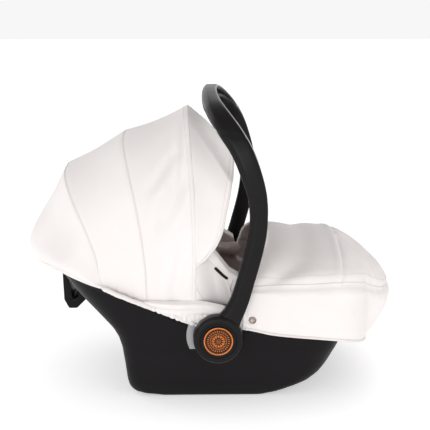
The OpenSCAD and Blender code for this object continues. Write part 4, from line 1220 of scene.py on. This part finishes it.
# ---------------------------------------------------------------- foot muff
def muff_cloth():
    """The muff's outer face: a side band up to the seam, and a top that meets on the spine."""
    half_hem = [(47, -187, 153), (75, -187.3, 147), (101, -187.3, 141), (140, -187, 136), (180, -186, 132),
                (215, -181, 127), (245, -170, 120), (268, -150, 111), (284, -122, 103),
                (292, -88, 98), (298, -45, 95), (300, 0, 94)]
    hem = curve(half_hem + [(x, -y, z) for x, y, z in half_hem[-2::-1]], 281)
    count = len(hem)
    u = np.linspace(-1, 1, count)
    depth = 1 - np.abs(u)                                  # 0 at the rear feet, 1 at the front
    spine_x = SPINE_REAR + (SPINE_FRONT - SPINE_REAR) * np.clip(depth / 0.9, 0, 1) ** 1.1
    spine = np.stack([spine_x, np.zeros(count), np.full(count, float(MUFF_TOP))], 1)
    front = smooth(depth, 0.70, 1.0)
    rows = 112
    v = np.linspace(0, 1, rows)
    seam_at = 0.42
    # side: share of the way out, and height share between hem and seam, then seam and top
    rho_side = np.interp(v, [0, .06, .2, .36, seam_at, 1], [1, 1.012, 1.02, 1.012, 0.985, 0])
    top_v = np.clip((v - seam_at) / (1 - seam_at), 0, 1)
    r = 0.985 * (1 - top_v)
    z_side = np.where(v < seam_at, np.interp(v, [0, seam_at], [0, 1]), 1)
    crown = (1 - (r / 0.985) ** 2.2) ** (1 / 2.0)
    rho_side = np.where(v < seam_at, rho_side, r)
    # front: distances from the spine's front end along the middle line, and heights
    v_front = [0, .05, .13, .24, .34, seam_at, .52, .60, .70, .78, .84, .90, 1]
    d_front = [1.0, 1.27, 1.48, 1.74, 1.85, 1.77, 1.52, 1.27, .93, .60, .325, .145, 0]
    z_front = [93, 94, 108, 138, 163, 187, 219, 235, 252, 263, 275, 283, MUFF_TOP]
    rho_front = np.interp(v, v_front, d_front)
    zf = np.interp(v, v_front, z_front)
    for _ in range(3):
        rho_front[1:-1] = (rho_front[:-2] + 2 * rho_front[1:-1] + rho_front[2:]) / 4
        zf[1:-1] = (zf[:-2] + 2 * zf[1:-1] + zf[2:]) / 4
    seam_z = np.interp(depth, [0, .2, .45, .51, .6, .68, .77, .88, 1],
                       [225, 229, 230, 228, 220, 209, 199, 190, 187])
    grid = np.zeros((rows, count, 3))
    for i in range(rows):
        rho = rho_side[i] * (1 - front) + rho_front[i] * front
        flat = spine[:, :2] + (hem[:, :2] - spine[:, :2]) * rho[:, None]
        low = hem[:, 2] + (seam_z - hem[:, 2]) * z_side[i]
        z_s = low if v[i] < seam_at else seam_z + (MUFF_TOP - seam_z) * crown[i]
        z = z_s * (1 - front) + zf[i] * front
        grid[i, :, :2] = flat
        grid[i, :, 2] = z
    grid[..., 0] = np.minimum(grid[..., 0], MUFF_FRONT)
    # the rear edge leans forward as it rises
    near_rear = 1 - smooth(depth, 0.0, 0.45)
    lean = np.interp(grid[..., 2], [150, 155, 189, 218, 241, 262, 277, 287], [0, 0, 0, 6, 13, 23, 36, 54])
    rear_x = MUFF_REAR + lean
    shift_left = (rear_x[:, :1] - grid[:, :1, 0]) * near_rear[None]
    shift_right = (rear_x[:, -1:] - grid[:, -1:, 0]) * near_rear[None]
    grid[..., 0] += np.where(u[None] < 0, shift_left, shift_right)
    out = normals(grid)
    if (out * (grid - arr([190, 0, 200]))).sum() < 0:
        out = -out
    # sewn seam between the side band and the top, the cloth full on both sides of it
    off = (v - seam_at) * 300
    move = -2.6 * bump(off, 3.4) + 1.4 * bump(off - 12, 9) + 1.2 * bump(off + 12, 9)
    move = np.repeat(move[:, None], count, 1)
    # the seam across the top, with the rear panel standing proud of the front one
    fold_x = 233 + 8 * (1 - (grid[..., 1] / 187) ** 2)
    d = grid[..., 0] - fold_x
    high = smooth(grid[..., 2], 226, 242)
    move += high * (-3.6 * bump(d, 2.4) + 3.2 * bump(d + 9, 7) + 0.8 * bump(d - 12, 9))
    # the top panel falls away from the middle in two soft valleys
    for start, end, wide, deep in (((186, 286), (84, 232), 13, 5.0), ((140, 262), (90, 236), 8, 1.6)):
        move += crease(grid, start, end, wide, deep) * high
    # puckers along the front of the seam
    run = np.concatenate([[0], np.cumsum(np.linalg.norm(np.diff(hem, axis=0), axis=1))])
    pucker = np.sin(run * 2 * math.pi / 21) + 0.6 * np.sin(run * 2 * math.pi / 12.7 + 1)
    beside = (bump(off - 14, 16) + 0.6 * bump(off + 12, 12))[:, None]
    move += (pucker * smooth(depth, 0.62, 0.86))[None] * beside
    move += 1.3 * waves(grid, 110, 41) + 0.35 * waves(grid, 34, 43)
    # gathered at the hem
    move += 0.5 * pucker[None] * np.exp(-v * 16)[:, None] * smooth(v, 0, 0.02)[:, None]
    edge = smooth(v, 0, 0.03)[:, None]
    grid = grid + out * (move * edge)[..., None]
    grid[..., 1] = np.clip(grid[..., 1], -MUFF_HALF - 1.5, MUFF_HALF + 1.5)
    # eased where the cuts of the top meet
    for _ in range(14):
        near = smooth(48 - np.hypot(grid[..., 0] - SPINE_FRONT, grid[..., 1]), 0, 26)[1:-1, 1:-1, None]
        mean = (grid[:-2, 1:-1] + grid[2:, 1:-1] + grid[1:-1, :-2] + grid[1:-1, 2:]) / 4
        grid[1:-1, 1:-1, 2:] += (mean - grid[1:-1, 1:-1])[..., 2:] * near
    peak = grid[-4, :, 2]
    for k in (1, 2, 3):
        near = smooth(30 - np.hypot(grid[-k, :, 0] - SPINE_FRONT, grid[-k, :, 1]), 0, 20)
        grid[-k, :, 2] += (peak.max() * 0.25 + grid[-4, :, 2] * 0.75 - grid[-k, :, 2]) * near * 0.8
    # the halves meet on the spine
    mid = grid[-1].copy()
    mid[:, 1] = 0
    grid[-1] = mid
    left, right = grid[-1, :count // 2 + 1], grid[-1, count // 2:][::-1]
    both = (left + right) / 2
    grid[-1, :count // 2 + 1] = both
    grid[-1, count // 2:] = both[::-1]
    return grid, out, v, seam_at


muff_grid, muff_out, muff_v, muff_seam = muff_cloth()
muff = sheet_piece("muff_cloth", muff_grid, outward=(190, 0, 200))
take(muff)
bpy.ops.object.mode_set(mode="EDIT")
bpy.ops.mesh.select_all(action="SELECT")
bpy.ops.mesh.remove_doubles(threshold=1e-5)
bpy.ops.object.mode_set(mode="OBJECT")
use(muff, "SMOOTH", factor=0.4, iterations=2)
muff.data.materials.append(LEATHER)
muff.data.materials.append(VELOUR)
wall(muff, 3.0, offset=-1, lining=True)
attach(muff, "muff")
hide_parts("foot_muff")

i_seam = int(round(muff_seam * (len(muff_v) - 1)))
line = muff_grid[i_seam] + muff_out[i_seam] * 0.2
piping = tube("muff_seam", line, 1.4, sides=8, up=muff_out[i_seam], taper=3)
clothe(piping, "muff", "faux_leather", HEM_WITH_PAINTED_SHADE)
threads = stitches("muff_stitches", muff_grid[i_seam + 3] + muff_out[i_seam + 3] * 0.3, muff_out[i_seam + 3])
clothe(threads, "muff", "faux_leather", THREAD)
binding = tube("muff_hem", muff_grid[0], 2.6, sides=12, up=muff_out[2], taper=3)
clothe(binding, "muff", "faux_leather", HEM_WITH_PAINTED_SHADE)
rear_edge = np.vstack([muff_grid[:, 0], muff_grid[::-1, -1][1:]])
rear_edge = resample(rear_edge, 160)
binding = tube("muff_rear_hem", rear_edge, 3.0, sides=12, up=(1, 0, 0.2), taper=2)
clothe(binding, "muff", "faux_leather", HEM_WITH_PAINTED_SHADE)

# ---------------------------------------------------------------- snap fasteners
for s, side_name in ((-1, "left"), (1, "right")):
    at = ((SNAP_LO[0] + SNAP_HI[0]) / 2 / MM, (SNAP_LO[2] + SNAP_HI[2]) / 2 / MM)
    cap = disc("snap_" + side_name, at, 7.4, 186, 190.6, s, [
        (0, 1.0), (0.36, 1.1), (0.46, 0.5), (0.52, 1.4), (0.62, 1.5), (0.72, 0.5), (0.84, 0.0), (0.95, 0.5),
        (1.0, 1.4), (1.0, 3.6)], segments=48)
    clothe(cap, "muff", "snap_metal", SNAP)
    if s < 0:
        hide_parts("snap_caps")
keep(SNAP, "snap_studs")

# ---------------------------------------------------------------- seat upholstery
cover = node_copy("seat_lining", "seat_cover")
use(cover, "REMESH", mode="VOXEL", voxel_size=2.6 * MM, use_smooth_shade=True)
use(cover, "SMOOTH", factor=0.5, iterations=8)
cover.data.materials.append(LEATHER)
cover.data.materials.append(VELOUR)
inside = np.array([p.center for p in cover.data.polygons], float) / MM
face_n = np.array([p.normal for p in cover.data.polygons], float)
across_in = (np.sign(inside[:, 1]) * face_n[:, 1] < -0.35) & (np.abs(inside[:, 1]) < 140)
inward = (np.abs(inside[:, 1]) < 121) | across_in
inward &= ~((inside[:, 2] > 262) & (inside[:, 0] > -150))      # the top of the wings stays faux leather
cover.data.polygons.foreach_set("material_index", inward.astype(np.int32))
within_shell(cover, 4.6)
use(cover, "DECIMATE", ratio=0.55)
for polygon in cover.data.polygons:
    polygon.use_smooth = True
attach(cover, "root")

for name, nodes, cap in (
        ("back_cushion", ["back_pad"], 7), ("seat_cushion", ["seat_pad"], 7),
        ("bolster_left", ["side_bolster_left"], 6), ("bolster_right", ["side_bolster_right"], 6),
        ("harness_pad_left", ["shoulder_pad_left"], 3), ("harness_pad_right", ["shoulder_pad_right"], 3),
        ("crotch_cushion", ["crotch_pad"], 3)):
    small = "harness" in name or "crotch" in name
    pad = plump(name, *nodes, voxel=3.0 if small else 4.5, inset=0.6 if small else 2.0, cap=cap,
                pressure=2.0 if small else 4.0)
    clothe(pad, "root", "velour", VELOUR)

foam = node_copy("foam_shell", "foam_liner")
use(foam, "REMESH", mode="VOXEL", voxel_size=4.5 * MM, use_smooth_shade=True)
use(foam, "SMOOTH", factor=0.5, iterations=4)
within_shell(foam, 5.5)
use(foam, "DECIMATE", ratio=0.5)
clothe(foam, "root", "foam", FOAM)
for n in ("shoulder_strap_left", "shoulder_strap_right", "lap_strap_left", "lap_strap_right", "crotch_strap"):
    keep(WEB, n)

# ---------------------------------------------------------------- hard parts with moulded edges
for name, nodes, body, slot, material, width in (
        ("belt_hook", ["rear_belt_hook"], "root", "shell_plastic", SHELL, 1.4),
        ("base_cover", ["base_plate"], "root", "base_plastic", INNER, 0.8),
        ("dock_bar_front", ["docking_bar_front"], "root", "steel", STEEL, 0.4),
        ("dock_bar_rear", ["docking_bar_rear"], "root", "steel", STEEL, 0.4),
        ("buckle_case", ["buckle_body"], "root", "buckle_plastic", BUCKLE, 1.2),
        ("buckle_key_cap", ["buckle_button"], "buckle_key", "buckle_red", RED, 0.8),
        ("tongues", ["buckle_tongues"], "root", "steel", STEEL, 0.5),
        ("adjuster_case", ["adjuster_housing"], "root", "buckle_plastic", BUCKLE, 1.0),
        ("adjuster_key_cap", ["adjuster_button"], "adjuster_key", "trim_grey", TRIM_AND_PAINTED_HIGHLIGHT, 0.7),
        ("bracket_left", ["canopy_bracket_left"], "root", "inner_plastic", INNER, 0.8),
        ("bracket_right", ["canopy_bracket_right"], "root", "inner_plastic", INNER, 0.8),
        ("crescent_left", ["pivot_trim_left"], "root", "trim_grey", TRIM_AND_PAINTED_HIGHLIGHT, 0.6),
        ("crescent_right", ["pivot_trim_right"], "root", "trim_grey", TRIM_AND_PAINTED_HIGHLIGHT, 0.6)):
    clothe(eased(name, *nodes, width=width), body, slot, material)
keep(STEEL, "base_screws", "hook_screws")

# ---------------------------------------------------------------- floor, light and camera
bpy.ops.mesh.primitive_plane_add(size=14, location=(0, 2.0, -0.0012))
floor = bpy.context.active_object
floor.name = "floor"
floor_paint, floor_place = new_material("pale floor")
floor_noise = node(floor_paint, "ShaderNodeTexNoise", {"Scale": 2.0}, {"Vector": (floor_place, "Object")})
floor_tint = ramp(floor_paint, floor_noise, "Fac", [(0.0, colour("#fbfbfb")), (1.0, colour("#fdfdfd"))])
floor_shader = node(floor_paint, "ShaderNodeBsdfPrincipled",
                    {"Roughness": 0.9, "Specular IOR Level": 0.1, "Emission Color": colour("#ffffff"),
                     "Emission Strength": 0.42},
                    {"Base Color": (floor_tint, "Color")})
finish_material(floor_paint, floor_shader)
floor.data.materials.append(floor_paint)

scene = bpy.context.scene
scene.view_settings.view_transform = "Standard"
world = bpy.data.worlds.new("studio")
scene.world = world
world.use_nodes = True
sky = world.node_tree
background = sky.nodes["Background"]
direction = sky.nodes.new("ShaderNodeTexCoord")
parts = sky.nodes.new("ShaderNodeSeparateXYZ")
fade = sky.nodes.new("ShaderNodeValToRGB")
fade.color_ramp.elements[0].position, fade.color_ramp.elements[0].color = 0.18, (1.0, 1.0, 1.0, 1.0)
fade.color_ramp.elements[1].position, fade.color_ramp.elements[1].color = 0.85, (0.66, 0.65, 0.65, 1.0)
sky.links.new(direction.outputs["Generated"], parts.inputs["Vector"])
sky.links.new(parts.outputs["Z"], fade.inputs["Fac"])
sky.links.new(fade.outputs["Color"], background.inputs["Color"])
background.inputs["Strength"].default_value = 0.93


def softbox(name, place, target, size, power):
    """A large soft light aimed at a point."""
    bpy.ops.object.light_add(type="AREA", location=place)
    lamp = bpy.context.active_object
    lamp.name = name
    lamp.data.shape = "RECTANGLE"
    lamp.data.size, lamp.data.size_y = size
    lamp.data.energy = power
    lamp.rotation_euler = (Vector(target) - Vector(place)).to_track_quat("-Z", "Y").to_euler()
    return lamp


softbox("front_box", (-0.9, -3.0, 0.7), (0, 0, 0.28), (1.6, 1.0), 15)
softbox("fill_box", (1.9, -1.9, 0.5), (0.05, 0, 0.3), (0.7, 1.4), 3)
softbox("edge_box", (-2.4, 0.9, 1.0), (-0.1, 0, 0.3), (0.8, 1.6), 5)

camera_data = bpy.data.cameras.new("camera")
camera = bpy.data.objects.new("camera", camera_data)
scene.collection.objects.link(camera)
camera.location = (-0.03792, -1.90042, 0.81149)
look = Vector((0.01818, 0.96832, -0.24904))
camera.rotation_euler = look.to_track_quat("-Z", "Y").to_euler()
camera_data.sensor_width = 36
camera_data.lens = 82.05
scene.camera = camera
